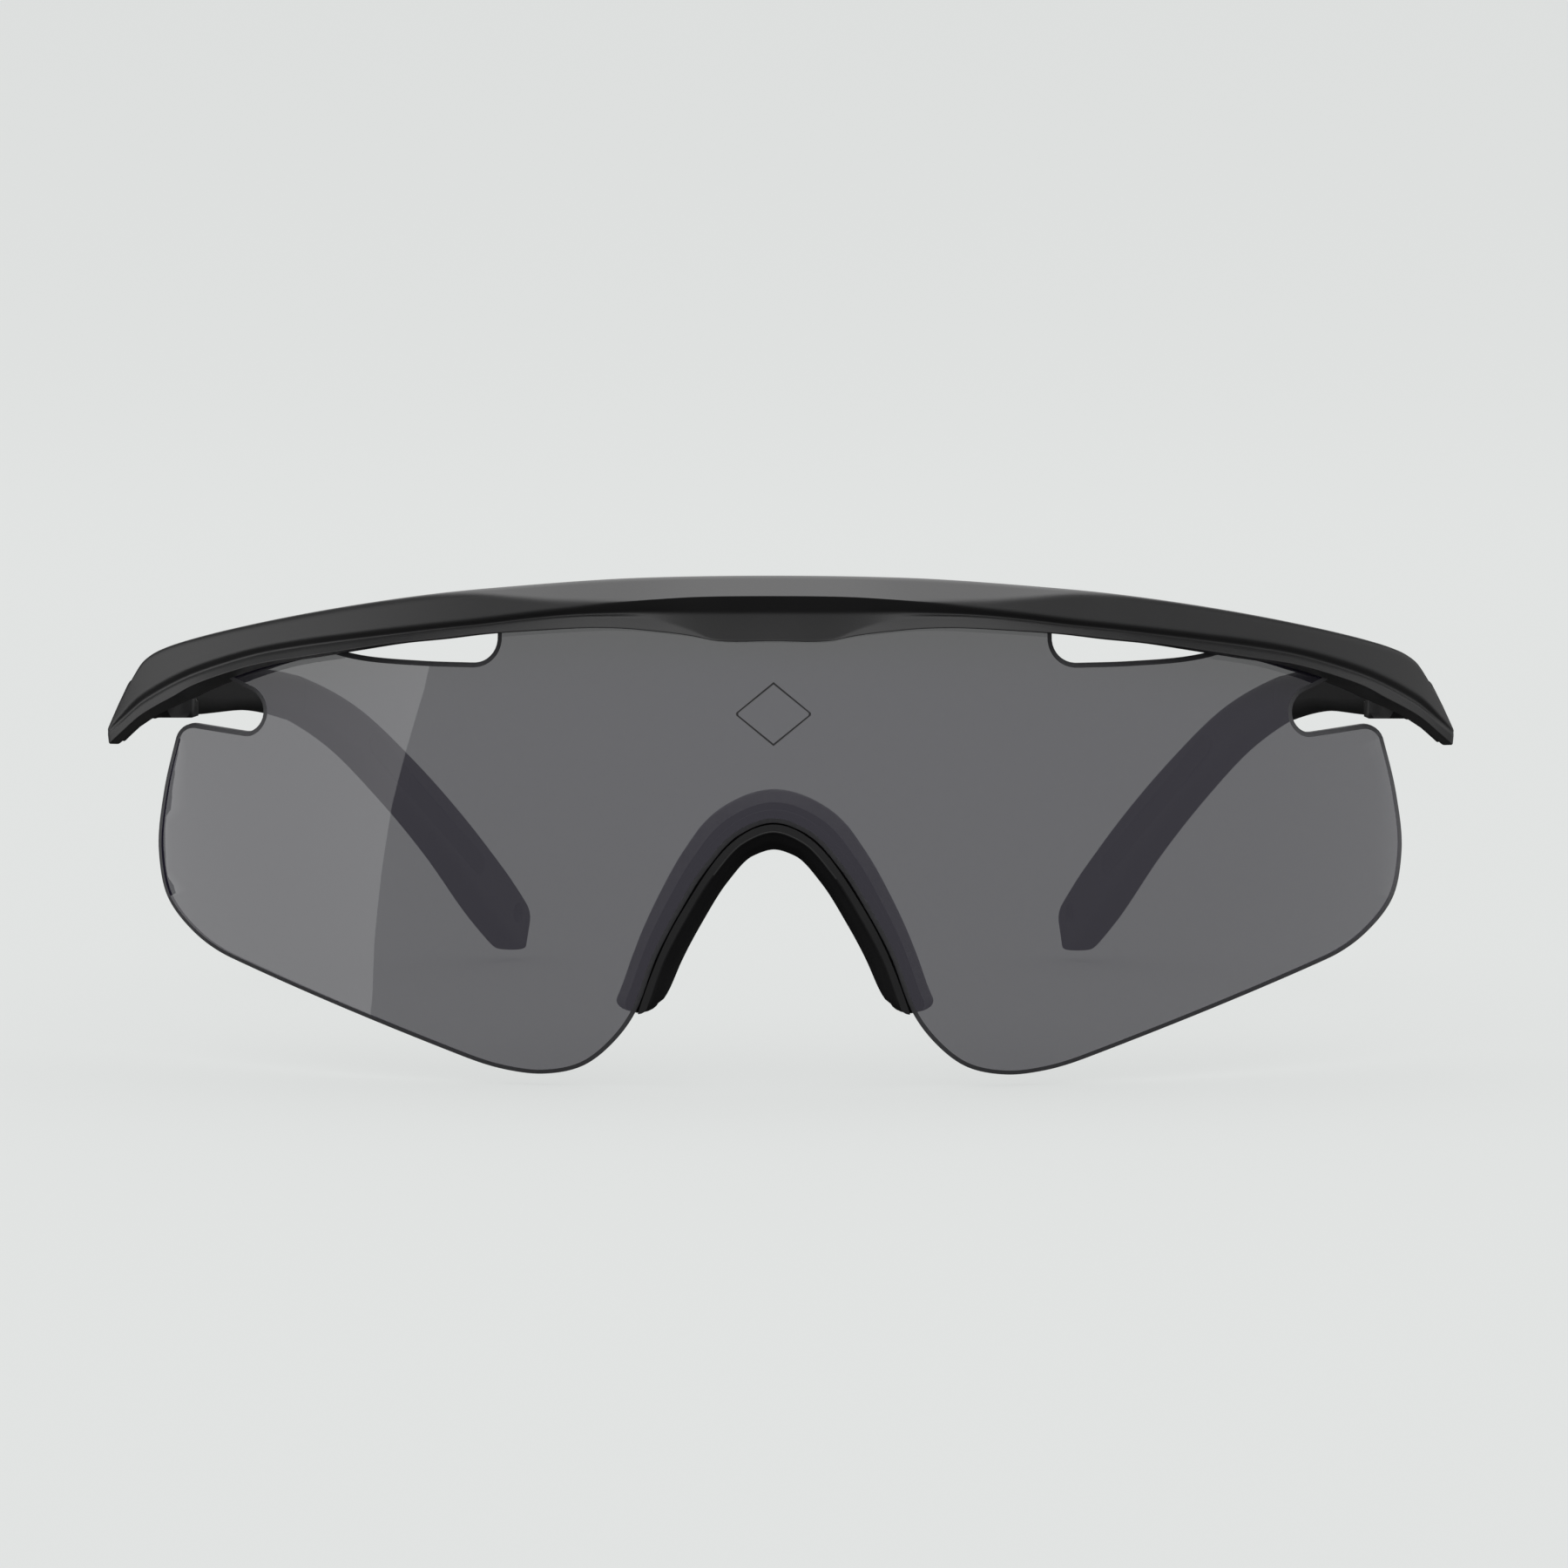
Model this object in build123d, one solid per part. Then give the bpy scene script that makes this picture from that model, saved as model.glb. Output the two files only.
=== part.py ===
from build123d import *
import os
from math import cos, radians, sin

# Wraparound sport sunglasses: one shield lens hung in a brow bar, a nose piece clipped on the
# lens's arch, and two hooked temples on vertical hinges. Millimetres.
# X runs across the face, Y from the wearer's view back to the ears, Z up.
# Pieces are drawn with Y = 0 at the lens's foremost point, and saved with Y = 0 at mid depth.

# Lens: a shell curved both ways.
WRAP_RADIUS = 86.0        # front of the lens, seen from above
CROWN_RADIUS = 240.0      # front of the lens, seen from the side
CROWN_HEIGHT = 28.0       # height of the lens's foremost point
LENS_THICKNESS = 1.8
FIT_GAP = 0.06            # around the lens in its groove and clip

# Brow bar: height of the top edge, crease and lower edge at each station round the wrap.
BAR_STATIONS = [
    # angle, top, crease, lower edge
    (0, 50.7, 47.9, 44.1),
    (6, 50.6, 47.8, 44.6),
    (12, 50.25, 47.3, 45.3),
    (18, 49.55, 46.2, 44.85),
    (25, 48.35, 44.95, 43.75),
    (33, 46.6, 43.4, 42.05),
    (41, 44.5, 41.0, 39.8),
    (48, 42.1, 37.9, 36.2),
    (57, 38.2, 33.2, 31.0),
]
BAR_FRONT = 3.1           # how far the bar stands in front of the lens's wrap
BAR_BACK = 3.9            # and behind it, where it holds the lens
WING_BACK = 1.6           # and behind it at the ends, past the lens
WING_START = 45.0         # angle past which the bar is only a wing
END_ANGLE = 52.0          # middle of the bar's slanted end
END_HEIGHT = 37.2
END_RAKE = 42.0           # the end leans back this far from upright

# Hinge: upright axis behind each end of the bar.
AXIS_X = 64.8
AXIS_Y = 38.6
EAR_RADIUS = 2.0
LUG_BOTTOM = 34.9
LUG_TOP = 40.8
SLOT_BOTTOM = 36.5
SLOT_TOP = 39.2
WASHER_THICKNESS = 0.2
STACK_GAP = 0.05
PIN_RADIUS = 0.7
PIN_CLEARANCE = 0.05
HEAD_RADIUS = 1.25
HEAD_HEIGHT = 0.7
SLEEVE_RADIUS = 1.15
SWING_GAP = 0.35

# Temple: centre, thickness and height of the arm's section from the hinge to the tip.
ARM_STATIONS = [
    # x, y, z, thickness, height
    (66.4, 33.0, 38.0, 6.2, 6.6),
    (66.2, 42.0, 37.9, 6.0, 6.6),
    (65.4, 52.0, 37.5, 4.4, 6.2),
    (63.9, 66.0, 36.9, 3.8, 5.5),
    (61.9, 84.0, 35.9, 3.6, 5.0),
    (58.9, 98.0, 34.2, 3.6, 5.4),
    (54.4, 109.0, 30.2, 3.8, 6.2),
    (49.2, 119.5, 23.5, 4.0, 6.8),
    (43.9, 130.0, 15.5, 4.2, 7.4),
    (39.6, 138.6, 8.0, 4.4, 8.0),
    (37.5, 142.8, 4.4, 4.2, 7.8),
    (36.4, 145.0, 2.6, 3.4, 6.2),
    (35.8, 146.2, 1.7, 2.0, 3.6),
]
CORNER_SHARE = 0.42       # corner radius of the arm's section over its thickness
BUTT_Y = 36.3             # front end of the arm's outer cheek
CORD_HOLE = (37.4, 143.0, 4.9)
CORD_HOLE_RADIUS = 1.3
HOOK_JOINT = ((59.5, 96.0, 34.5), (-0.22, 1, -0.17))      # where shaft and hook meet
TIP_JOINT = ((40.2, 137.3, 9.3), (-0.48, 1, -0.86))       # where hook and tip meet
GRIP_START = (53.0, 111.8, 28.9)
GRIP_END = (41.3, 135.3, 11.2)
GRIP_WIDTH = 2.6
GRIP_DEPTH = 1.0
GRIP_ARM_THICKNESS = ARM_STATIONS[7][3]
CORE_RADIUS = 0.6
CORE_PATH = [
    (63.4, 70.0, 36.7),
    (60.9, 90.0, 35.4),
    (55.0, 107.6, 30.9),
    (49.2, 119.5, 23.5),
    (41.0, 135.8, 10.8),
]
CORE_BEND = 14.0

# Nose piece: offsets from the lens's arch, inwards negative, and depths from the lens's front.
SADDLE_OFFSET = -2.9
CARRIER_INNER = -0.9
CARRIER_OUTER = 1.15
PAD_OUTER = 3.1
LEG_ROUND = 1.0
LENS_ROOM = 4.0
CARRIER_BACK = -3.3
PAD_FRONT = 0.5
PAD_BACK = -7.4
CORE_STRIP = (0.1, 1.1)
CORE_DEPTHS = (-5.0, -5.5)

FRONT_Y = -BAR_FRONT
BACK_Y = 147.3
HALF_DEPTH = (FRONT_Y + BACK_Y) / 2

ARCH_POINTS = [(0, 25.9), (3.4, 24.7), (6.7, 21.2), (9.4, 16.9), (11.8, 12.3), (13.6, 7.4)]


def flat(x, z):
    """A point on the upright plane that outlines are drawn on."""
    return Vector(x, 0, z)


def symmetric_face(half):
    """Closes a half outline with its mirror image across the middle."""
    other = [edge.mirror(Plane.YZ) for edge in half]
    return Face(Wire(half + other))


def along_depth(face, start, end):
    """Extrudes an upright face from one depth to another."""
    return extrude(Pos(0, start, 0) * face, amount=end - start, dir=(0, 1, 0))


def wrap_layer(front, back):
    """The lens's curved shell between two offsets from its front, all the way round."""
    middle = WRAP_RADIUS - CROWN_RADIUS
    profile = Circle(CROWN_RADIUS + front) - Circle(CROWN_RADIUS + back)
    window = Pos(WRAP_RADIUS - middle, 0) * Rectangle(40, 2 * CROWN_HEIGHT + 10)
    section = Plane.XZ * (Pos(middle, CROWN_HEIGHT) * (profile & window))
    return Pos(0, WRAP_RADIUS, 0) * revolve(section, Axis.Z)


def wrap_point(angle, offset, height):
    """A point at an angle round the wrap and an offset out from the lens's front."""
    radius = WRAP_RADIUS + offset
    turn = radians(angle)
    return Vector(radius * sin(turn), WRAP_RADIUS - radius * cos(turn), height)


# The lens.

def lens_outline():
    """Half outline from the top middle round the vent, the side notch, the lobe and the arch."""
    top = Spline(flat(0, 47.2), flat(14, 47.2), flat(28, 46.6), tangents=[(1, 0, 0), (1, 0, -0.08)])
    vent_wall = Line(flat(28, 46.6), flat(28, 44.3))
    vent_corner = ThreePointArc(flat(28, 44.3), flat(28.75, 42.45), flat(30.6, 41.7))
    vent_floor = Spline(flat(30.6, 41.7), flat(36, 41.8), flat(44, 42.5), flat(48.6, 43.8))
    tab_top = Spline(flat(48.6, 43.8), flat(53.5, 42.9), flat(58, 41.6))
    tab_end = Line(flat(58, 41.6), flat(58, 39.7))
    notch_top = Line(flat(58, 39.7), flat(55.2, 38.5))
    notch_end = ThreePointArc(flat(55.2, 38.5), flat(53.4, 36.2), flat(55.2, 34.0))
    notch_floor = Line(flat(55.2, 34.0), flat(61.4, 34.6))
    shoulder = ThreePointArc(flat(61.4, 34.6), flat(63.1, 34.1), flat(64.0, 32.6))
    side = Spline(
        flat(64.0, 32.6), flat(65.5, 27.0), flat(66.2, 20.6), flat(65.2, 16.0),
        flat(62.0, 12.5), flat(57.5, 10.1), tangents=[(0.3, 0, -1), (-1, 0, -0.34)],
    )
    sweep_line = Line(flat(57.5, 10.1), flat(32, 1.5))
    lobe = Spline(
        flat(32, 1.5), flat(27.5, 0.3), flat(23.4, 0), flat(19.4, 0.95), flat(16.2, 3.5),
        flat(13.6, 7.4), tangents=[(-1, 0, -0.34), (-0.42, 0, 1)],
    )
    arch_half = Spline(
        *[flat(x, z) for x, z in reversed(ARCH_POINTS)], tangents=[(-0.42, 0, 1), (-1, 0, 0)]
    )
    return [
        top, vent_wall, vent_corner, vent_floor, tab_top, tab_end, notch_top, notch_end,
        notch_floor, shoulder, side, sweep_line, lobe, arch_half,
    ]


def lens_shield():
    outline = along_depth(symmetric_face(lens_outline()), -5, 50)
    return wrap_layer(0, -LENS_THICKNESS) & outline


def lens_groove():
    """The slot that the lens's top edge sits in, a little over the lens all round."""
    roof = Spline(
        flat(0, 47.35), flat(14, 47.35), flat(28, 46.75), flat(48.6, 43.95), flat(58.2, 41.75),
        tangents=[(1, 0, 0), (1, 0, -0.28)],
    )
    end = Line(flat(58.2, 41.75), flat(58.2, 30))
    floor = Line(flat(58.2, 30), flat(0, 30))
    outline = along_depth(symmetric_face([roof, end, floor]), -5, 50)
    return wrap_layer(FIT_GAP, -LENS_THICKNESS - FIT_GAP) & outline


# The brow bar.

def bar_section(angle, top, crease, lower):
    """The bar's section on the upright plane through the wrap's axis."""
    thin = max(0.0, min(1.0, (abs(angle) - 40) / (WING_START - 40)))
    back = -BAR_BACK + thin * (BAR_BACK - WING_BACK)
    corners = [
        (back, lower + 0.3),
        (back, top - 1.2),
        (0.3, top),
        (2.5, top - 2.0),
        (BAR_FRONT, crease + 0.7),
        (2.3, crease),
        (2.7, crease - 0.7),
        (1.8, lower),
    ]
    points = [wrap_point(angle, offset, height) for offset, height in corners]
    return Face(Wire.make_polygon(points, close=True))


def end_cutter(side):
    """Everything past the bar's slanted end."""
    point = wrap_point(side * END_ANGLE, 0.5, END_HEIGHT)
    tangent = Vector(side * cos(radians(END_ANGLE)), sin(radians(END_ANGLE)), 0)
    normal = tangent * cos(radians(END_RAKE)) + Vector(0, 0, 1) * sin(radians(END_RAKE))
    plane = Plane(origin=point, z_dir=normal)
    return plane * Pos(0, 0, 15) * Box(60, 60, 30)


def hinge_lug(side):
    """Block behind the bar's end, slotted for the temple's tongue and bored for the screw."""
    height = LUG_TOP - LUG_BOTTOM
    middle = (LUG_TOP + LUG_BOTTOM) / 2
    x = side * AXIS_X
    root = 29.6
    block = Pos(x, (root + AXIS_Y) / 2, middle) * Box(2 * EAR_RADIUS, AXIS_Y - root, height)
    lug = block + Pos(x, AXIS_Y, middle) * Cylinder(EAR_RADIUS, height)
    slot_height = SLOT_TOP - SLOT_BOTTOM
    slot = Pos(x, AXIS_Y, (SLOT_TOP + SLOT_BOTTOM) / 2) * Cylinder(EAR_RADIUS + 0.6, slot_height)
    lug -= slot
    low_bore = Pos(x, AXIS_Y, SLOT_BOTTOM) * Cylinder(SLEEVE_RADIUS + 0.02, 2 * slot_height)
    low_bore &= Pos(x, AXIS_Y, LUG_BOTTOM) * Box(10, 10, 2 * (SLOT_BOTTOM - LUG_BOTTOM))
    high_bore = Pos(x, AXIS_Y, LUG_TOP) * Cylinder(PIN_RADIUS + PIN_CLEARANCE, 4)
    seat_depth = HEAD_HEIGHT + WASHER_THICKNESS + STACK_GAP
    seat = Pos(x, AXIS_Y, LUG_TOP) * Cylinder(HEAD_RADIUS + 0.1, 2 * seat_depth)
    return lug - low_bore - high_bore - seat


def brow_bar():
    rows = [(-angle, top, crease, low) for angle, top, crease, low in reversed(BAR_STATIONS[1:])]
    sections = [bar_section(*row) for row in rows + BAR_STATIONS]
    bar = loft(sections)
    for side in (-1, 1):
        bar -= end_cutter(side)
    bar -= lens_groove()
    for side in (-1, 1):
        bar += hinge_lug(side)
    return bar


# The nose piece.

def arch(offset):
    """The lens's arch from foot to foot, moved out by an offset."""
    left = [flat(-x, z) for x, z in reversed(ARCH_POINTS)]
    right = [flat(x, z) for x, z in ARCH_POINTS[1:]]
    line = Spline(*(left + right), tangents=[(0.42, 0, 1), (0.42, 0, -1)])
    points = []
    for step in range(13):
        place = step / 12
        heading = line % place
        points.append((line @ place) + Vector(-heading.Z, 0, heading.X) * offset)
    return Spline(*points)


def arch_band(inner, outer, start, end):
    """A band that follows the arch between two offsets, with rounded feet."""
    low, high = arch(inner), arch(outer)
    edges = [low]
    for place in (0, 1):
        a, b = low @ place, high @ place
        foot = (a + b) * 0.5 - Vector(0, 0, min(LEG_ROUND, (outer - inner) / 2))
        edges.append(ThreePointArc(a, foot, b))
    edges.append(high)
    return along_depth(Face(Wire(edges)), start, end)


def lens_room():
    """Space round the arch that the lens fills, with some to spare past its feet."""
    low, high = arch(-3 * FIT_GAP), arch(LENS_ROOM)
    ends = [low @ 0 - (low % 0) * LENS_ROOM, high @ 0 - (high % 0) * LENS_ROOM]
    ends += [low @ 1 + (low % 1) * LENS_ROOM, high @ 1 + (high % 1) * LENS_ROOM]
    edges = [low, Line(low @ 0, ends[0]), Line(ends[0], ends[1]), Line(ends[1], high @ 0)]
    edges += [high, Line(high @ 1, ends[3]), Line(ends[3], ends[2]), Line(ends[2], low @ 1)]
    return along_depth(Face(Wire(edges)), -5, 15) & wrap_layer(3, -LENS_THICKNESS - FIT_GAP)


def nose_carrier():
    """Rigid clip: a wall inside the arch and a flange behind the lens."""
    clip = arch_band(CARRIER_INNER, CARRIER_OUTER, -5, 15) & wrap_layer(0.3, CARRIER_BACK)
    return clip - lens_room()


def nose_core():
    """Bendable metal strip moulded inside the pad."""
    return arch_band(*CORE_STRIP, -5, 20) & wrap_layer(*CORE_DEPTHS)


def nose_pad():
    """Rubber saddle round the carrier's inside and back."""
    rim = arch_band(SADDLE_OFFSET, CARRIER_INNER - 0.03, -5, 15)
    rim &= wrap_layer(PAD_FRONT, CARRIER_BACK)
    saddle = arch_band(SADDLE_OFFSET, PAD_OUTER, -5, 20)
    saddle &= wrap_layer(CARRIER_BACK - 0.03, PAD_BACK)
    bridge = arch_band(SADDLE_OFFSET, CARRIER_INNER - 0.03, -5, 20)
    bridge &= wrap_layer(CARRIER_BACK + 0.5, CARRIER_BACK - 0.5)
    room = arch_band(CORE_STRIP[0] - 0.03, CORE_STRIP[1] + 0.03, -5, 20)
    room &= wrap_layer(CORE_DEPTHS[0] + 0.03, CORE_DEPTHS[1] - 0.03)
    return rim + saddle + bridge - room


# The temples, drawn on the +X side.

def arm_section(line, place, thickness, height):
    heading = line % place
    across = Vector(heading.Y, -heading.X, 0).normalized()
    plane = Plane(origin=line @ place, x_dir=across, z_dir=heading)
    corner = CORNER_SHARE * thickness
    return plane * RectangleRounded(thickness, height, corner)


def arm_blank():
    """The arm's loft from the hinge cheek to the tip."""
    centres = [Vector(x, y, z) for x, y, z, thickness, height in ARM_STATIONS]
    line = Spline(*centres, tangents=[(-0.02, 1, 0), (-0.5, 1, -0.75)])
    sections = []
    for centre, station in zip(centres, ARM_STATIONS):
        place = line.param_at_point(centre)
        sections.append(arm_section(line, place, station[3], station[4]))
    return loft(sections)


def hinge_room():
    """Space that the lug and the bar's end need while the temple swings."""
    tall = Pos(AXIS_X, AXIS_Y, END_HEIGHT) * Cylinder(EAR_RADIUS + SWING_GAP, 20)
    inner_edge = AXIS_X + EAR_RADIUS + SWING_GAP
    inside = Pos(inner_edge - 10, AXIS_Y - 10, END_HEIGHT) * Box(20, 20, 20)
    shoulder = Pos(AXIS_X - 10.6, AXIS_Y - 7.55, END_HEIGHT) * Box(20, 20, 20)
    ahead = Pos(AXIS_X, BUTT_Y - 10, END_HEIGHT) * Box(40, 20, 20)
    wing = Pos(0, WRAP_RADIUS, END_HEIGHT) * Cylinder(WRAP_RADIUS + 20, 20)
    wing -= Pos(0, WRAP_RADIUS, END_HEIGHT) * Cylinder(WRAP_RADIUS - WING_BACK - 0.4, 20)
    wing &= Pos(AXIS_X, 40, END_HEIGHT) * Box(40, 20, 20)
    return tall + inside + shoulder + ahead + wing


def cant_cutter():
    """Slopes the cheek's outer face to follow the bar's slanted end."""
    plane = Plane(origin=(67.0, 40, 40.4), x_dir=(0, 1, 0), z_dir=(0.85, 0, 0.53))
    return plane * Pos(0, 0, 5) * Box(30, 30, 10)


def tongue():
    bottom = SLOT_BOTTOM + WASHER_THICKNESS + 2 * STACK_GAP
    top = SLOT_TOP - WASHER_THICKNESS - 2 * STACK_GAP
    middle = (bottom + top) / 2
    eye = Pos(AXIS_X, AXIS_Y, middle) * Cylinder(EAR_RADIUS, top - bottom)
    neck = Pos(AXIS_X + 0.4, AXIS_Y + 1.7, middle) * Box(3.2, 3.4, top - bottom)
    return eye + neck


def grip_pocket(grow):
    """Prism of the long round-ended inlay in the hook's inner face, from its floor outwards."""
    start, end = Vector(*GRIP_START), Vector(*GRIP_END)
    run = end - start
    inward = Vector(-run.Y, run.X, 0).normalized()
    floor = GRIP_ARM_THICKNESS / 2 - GRIP_DEPTH - grow
    plane = Plane(origin=(start + end) * 0.5 + inward * floor, x_dir=run, z_dir=inward)
    shape = SlotOverall(run.length + 2 * grow, GRIP_WIDTH + 2 * grow)
    return extrude(plane * shape, amount=6)



def core_wire(radius):
    path = FilletPolyline(*CORE_PATH, radius=CORE_BEND)
    start = Plane(origin=path @ 0, z_dir=path % 0)
    return sweep(start * Circle(radius), path=path)


def cord_hole():
    line_heading = Vector(*GRIP_END) - Vector(*GRIP_START)
    across = Vector(line_heading.Y, -line_heading.X, 0).normalized()
    plane = Plane(origin=CORD_HOLE, z_dir=across)
    return plane * Cylinder(CORD_HOLE_RADIUS, 20)


def hinge_sleeve():
    """Metal sleeve in the tongue that turns on the screw."""
    bottom = SLOT_BOTTOM + WASHER_THICKNESS + 2 * STACK_GAP
    top = SLOT_TOP - WASHER_THICKNESS - 2 * STACK_GAP
    ring = Cylinder(SLEEVE_RADIUS, top - bottom) - Cylinder(PIN_RADIUS + PIN_CLEARANCE, 10)
    return Pos(AXIS_X, AXIS_Y, (bottom + top) / 2) * ring


def whole_arm():
    arm = arm_blank() - hinge_room() - cant_cutter()
    arm += tongue()
    arm -= Pos(AXIS_X, AXIS_Y, END_HEIGHT) * Cylinder(SLEEVE_RADIUS + 0.02, 10)
    arm -= grip_pocket(0.03)
    arm -= core_wire(CORE_RADIUS + 0.03)
    arm -= cord_hole()
    return arm


def beyond(place):
    """Everything on the tip's side of a joint, given by its point and heading."""
    plane = Plane(origin=place[0], z_dir=place[1])
    return plane * Pos(0, 0, 60) * Box(160, 160, 120)


def temple_arm():
    """The straight part, from the hinge's tongue to the joint with the hook."""
    return whole_arm() - beyond(HOOK_JOINT)


def temple_hook():
    """The part that bends down behind the ear."""
    return (whole_arm() & beyond(HOOK_JOINT)) - beyond(TIP_JOINT)


def temple_tip():
    """The rounded end with the cord hole."""
    return whole_arm() & beyond(TIP_JOINT)


def temple_grip():
    return arm_blank() & grip_pocket(0)


# Hinge hardware, drawn on the +X side.

def hinge_screw():
    head_top = LUG_TOP
    head_bottom = head_top - HEAD_HEIGHT
    shank_bottom = LUG_BOTTOM + 0.1
    shank_height = head_bottom - shank_bottom
    shank = Pos(0, 0, shank_bottom + shank_height / 2) * Cylinder(PIN_RADIUS, shank_height)
    head = Pos(0, 0, head_bottom + HEAD_HEIGHT / 2) * Cylinder(HEAD_RADIUS, HEAD_HEIGHT)
    slot = Pos(0, 0, head_top) * Box(4, 0.4, 0.7)
    return Pos(AXIS_X, AXIS_Y, 0) * (shank + head - slot)


def washer(bottom, outer):
    ring = Cylinder(outer, WASHER_THICKNESS) - Cylinder(PIN_RADIUS + PIN_CLEARANCE, 2)
    return Pos(AXIS_X, AXIS_Y, bottom + WASHER_THICKNESS / 2) * ring


def slip_washers():
    low = washer(SLOT_BOTTOM + STACK_GAP, EAR_RADIUS - 0.2)
    high = washer(SLOT_TOP - STACK_GAP - WASHER_THICKNESS, EAR_RADIUS - 0.2)
    return Compound(children=[low, high])


def spring_washer():
    return washer(LUG_TOP - HEAD_HEIGHT - STACK_GAP / 2 - WASHER_THICKNESS, HEAD_RADIUS)


def threaded_insert():
    height = SLOT_BOTTOM - LUG_BOTTOM
    ring = Cylinder(SLEEVE_RADIUS, height) - Cylinder(PIN_RADIUS + 0.01, 5)
    return Pos(AXIS_X, AXIS_Y, LUG_BOTTOM + height / 2) * ring


def save(name, shape):
    export_step(Pos(0, -HALF_DEPTH, 0) * shape, f"parts/{name}.step")


def save_pair(name, shape):
    """Saves the piece on the wearer's left, at +X, and its mirror image."""
    save(f"{name}_left", shape)
    save(f"{name}_right", mirror(shape, about=Plane.YZ))


os.makedirs("parts", exist_ok=True)
save("brow_bar", brow_bar())
save("lens_shield", lens_shield())
save("nose_carrier", nose_carrier())
save("nose_pad", nose_pad())
save("nose_core_strip", nose_core())
save_pair("temple_arm", temple_arm())
save_pair("temple_hook", temple_hook())
save_pair("temple_tip", temple_tip())
save_pair("temple_grip", temple_grip())
save_pair("temple_core_wire", core_wire(CORE_RADIUS))
save_pair("hinge_sleeve", hinge_sleeve())
save_pair("hinge_screw", hinge_screw())
save_pair("hinge_slip_washers", slip_washers())
save_pair("hinge_spring_washer", spring_washer())
save_pair("hinge_threaded_insert", threaded_insert())
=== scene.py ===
from math import cos, exp, pi, radians, sin, sqrt

import bmesh
import bpy
import numpy as np
from mathutils import Matrix, Vector
from mathutils.geometry import delaunay_2d_cdt


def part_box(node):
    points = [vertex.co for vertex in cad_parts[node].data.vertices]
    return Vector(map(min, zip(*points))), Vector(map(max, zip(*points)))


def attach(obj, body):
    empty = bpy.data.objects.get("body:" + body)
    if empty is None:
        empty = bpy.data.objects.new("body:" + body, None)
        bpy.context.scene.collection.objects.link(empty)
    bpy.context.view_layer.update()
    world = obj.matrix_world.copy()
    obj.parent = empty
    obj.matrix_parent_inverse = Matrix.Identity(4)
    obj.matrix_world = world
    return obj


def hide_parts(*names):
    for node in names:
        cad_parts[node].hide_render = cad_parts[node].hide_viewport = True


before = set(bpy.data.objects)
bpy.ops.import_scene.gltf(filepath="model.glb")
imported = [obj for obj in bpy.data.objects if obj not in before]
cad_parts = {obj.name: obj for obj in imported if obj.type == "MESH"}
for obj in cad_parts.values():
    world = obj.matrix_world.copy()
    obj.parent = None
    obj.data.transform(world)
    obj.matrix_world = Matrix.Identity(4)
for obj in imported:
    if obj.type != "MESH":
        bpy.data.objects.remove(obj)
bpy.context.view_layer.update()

bl_info = {
    "name": "Wraparound Sport Sunglasses",
    "version": (1, 0, 0),
    "blender": (4, 5, 0),
    "location": "3D View > Sidebar > Sunglasses",
    "description": "Builds the bar, the lens, the nose piece and the hooks on the CAD frame",
    "category": "Add Mesh",
}

MM = 0.001
LENS_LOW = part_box("lens_shield")[0]
SCREW_LOW, SCREW_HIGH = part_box("hinge_screw_left")
APEX_Y = LENS_LOW.y  # the lens's foremost point
AXIS = (SCREW_LOW + SCREW_HIGH) / 2  # the left hinge's screw
FRONT_BODY = "front"
SIDES = ("left", "right")


# ---- sizes and colours

def number_of(name, about, default, **kind):
    return bpy.props.FloatProperty(name=name, description=about, default=default, **kind)


def length_of(name, about, default):
    return number_of(name, about, default, unit="LENGTH")


def share_of(name, about, default):
    return number_of(name, about, default, min=0, max=1, subtype="FACTOR")


def colour_of(name, about, default):
    return bpy.props.FloatVectorProperty(
        name=name, description=about, default=default, min=0, max=1, subtype="COLOR")


class ShieldSettings(bpy.types.PropertyGroup):
    """Sizes and tint of the shield lens."""
    wrap: length_of("Wrap radius", "Radius of the lens's front, seen from above", 0.086)
    crown: length_of("Crown radius", "Radius of the lens's front, seen from the side", 0.240)
    crown_height: length_of("Crown height", "Height of the lens's foremost point", 0.028)
    thickness: length_of("Thickness", "Thickness of the lens", 0.0018)
    bevel: length_of("Edge bevel", "Width of the ground bevel round the front edge", 0.00046)
    grid: length_of("Mesh spacing", "Distance between the points inside the lens's mesh", 0.0022)
    tint: colour_of("Tint", "Colour that the smoke dye scatters back", (0.016, 0.0135, 0.027))
    density: share_of("Front density", "Share of the light that the lens's front stops", 0.855)
    back_density: share_of("Back density", "Share of the light that the lens's back stops", 0.10)
    mark_width: length_of("Mark width", "Width of the plain printed diamond", 0.0078)
    mark_height: length_of("Mark height", "Height of the plain printed diamond", 0.0064)
    mark_line: length_of("Mark line", "Width of the diamond's printed line", 0.00018)


class BarSettings(bpy.types.PropertyGroup):
    """Shape and colour of the brow bar."""
    step: number_of("Station step", "Angle between sections, in degrees", 0.5)
    end_round: length_of("End rounding", "Radius where the sides turn into the slanted end", 0.0009)
    colour: colour_of("Plastic", "Colour of the black moulded nylon", (0.017, 0.017, 0.0175))
    gloss: share_of("Roughness", "Roughness of the satin mould finish", 0.40)


class NoseSettings(bpy.types.PropertyGroup):
    """Shape and colour of the nose piece."""
    dome: length_of("Foot dome", "How far each foot's rounded end reaches past the arch", 0.0013)
    colour: colour_of("Rubber", "Colour of the soft black rubber", (0.008, 0.008, 0.0084))
    flange: colour_of("Flange", "Colour of the smoke grey flange round the pad's back",
                      (0.26, 0.26, 0.265))


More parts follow.
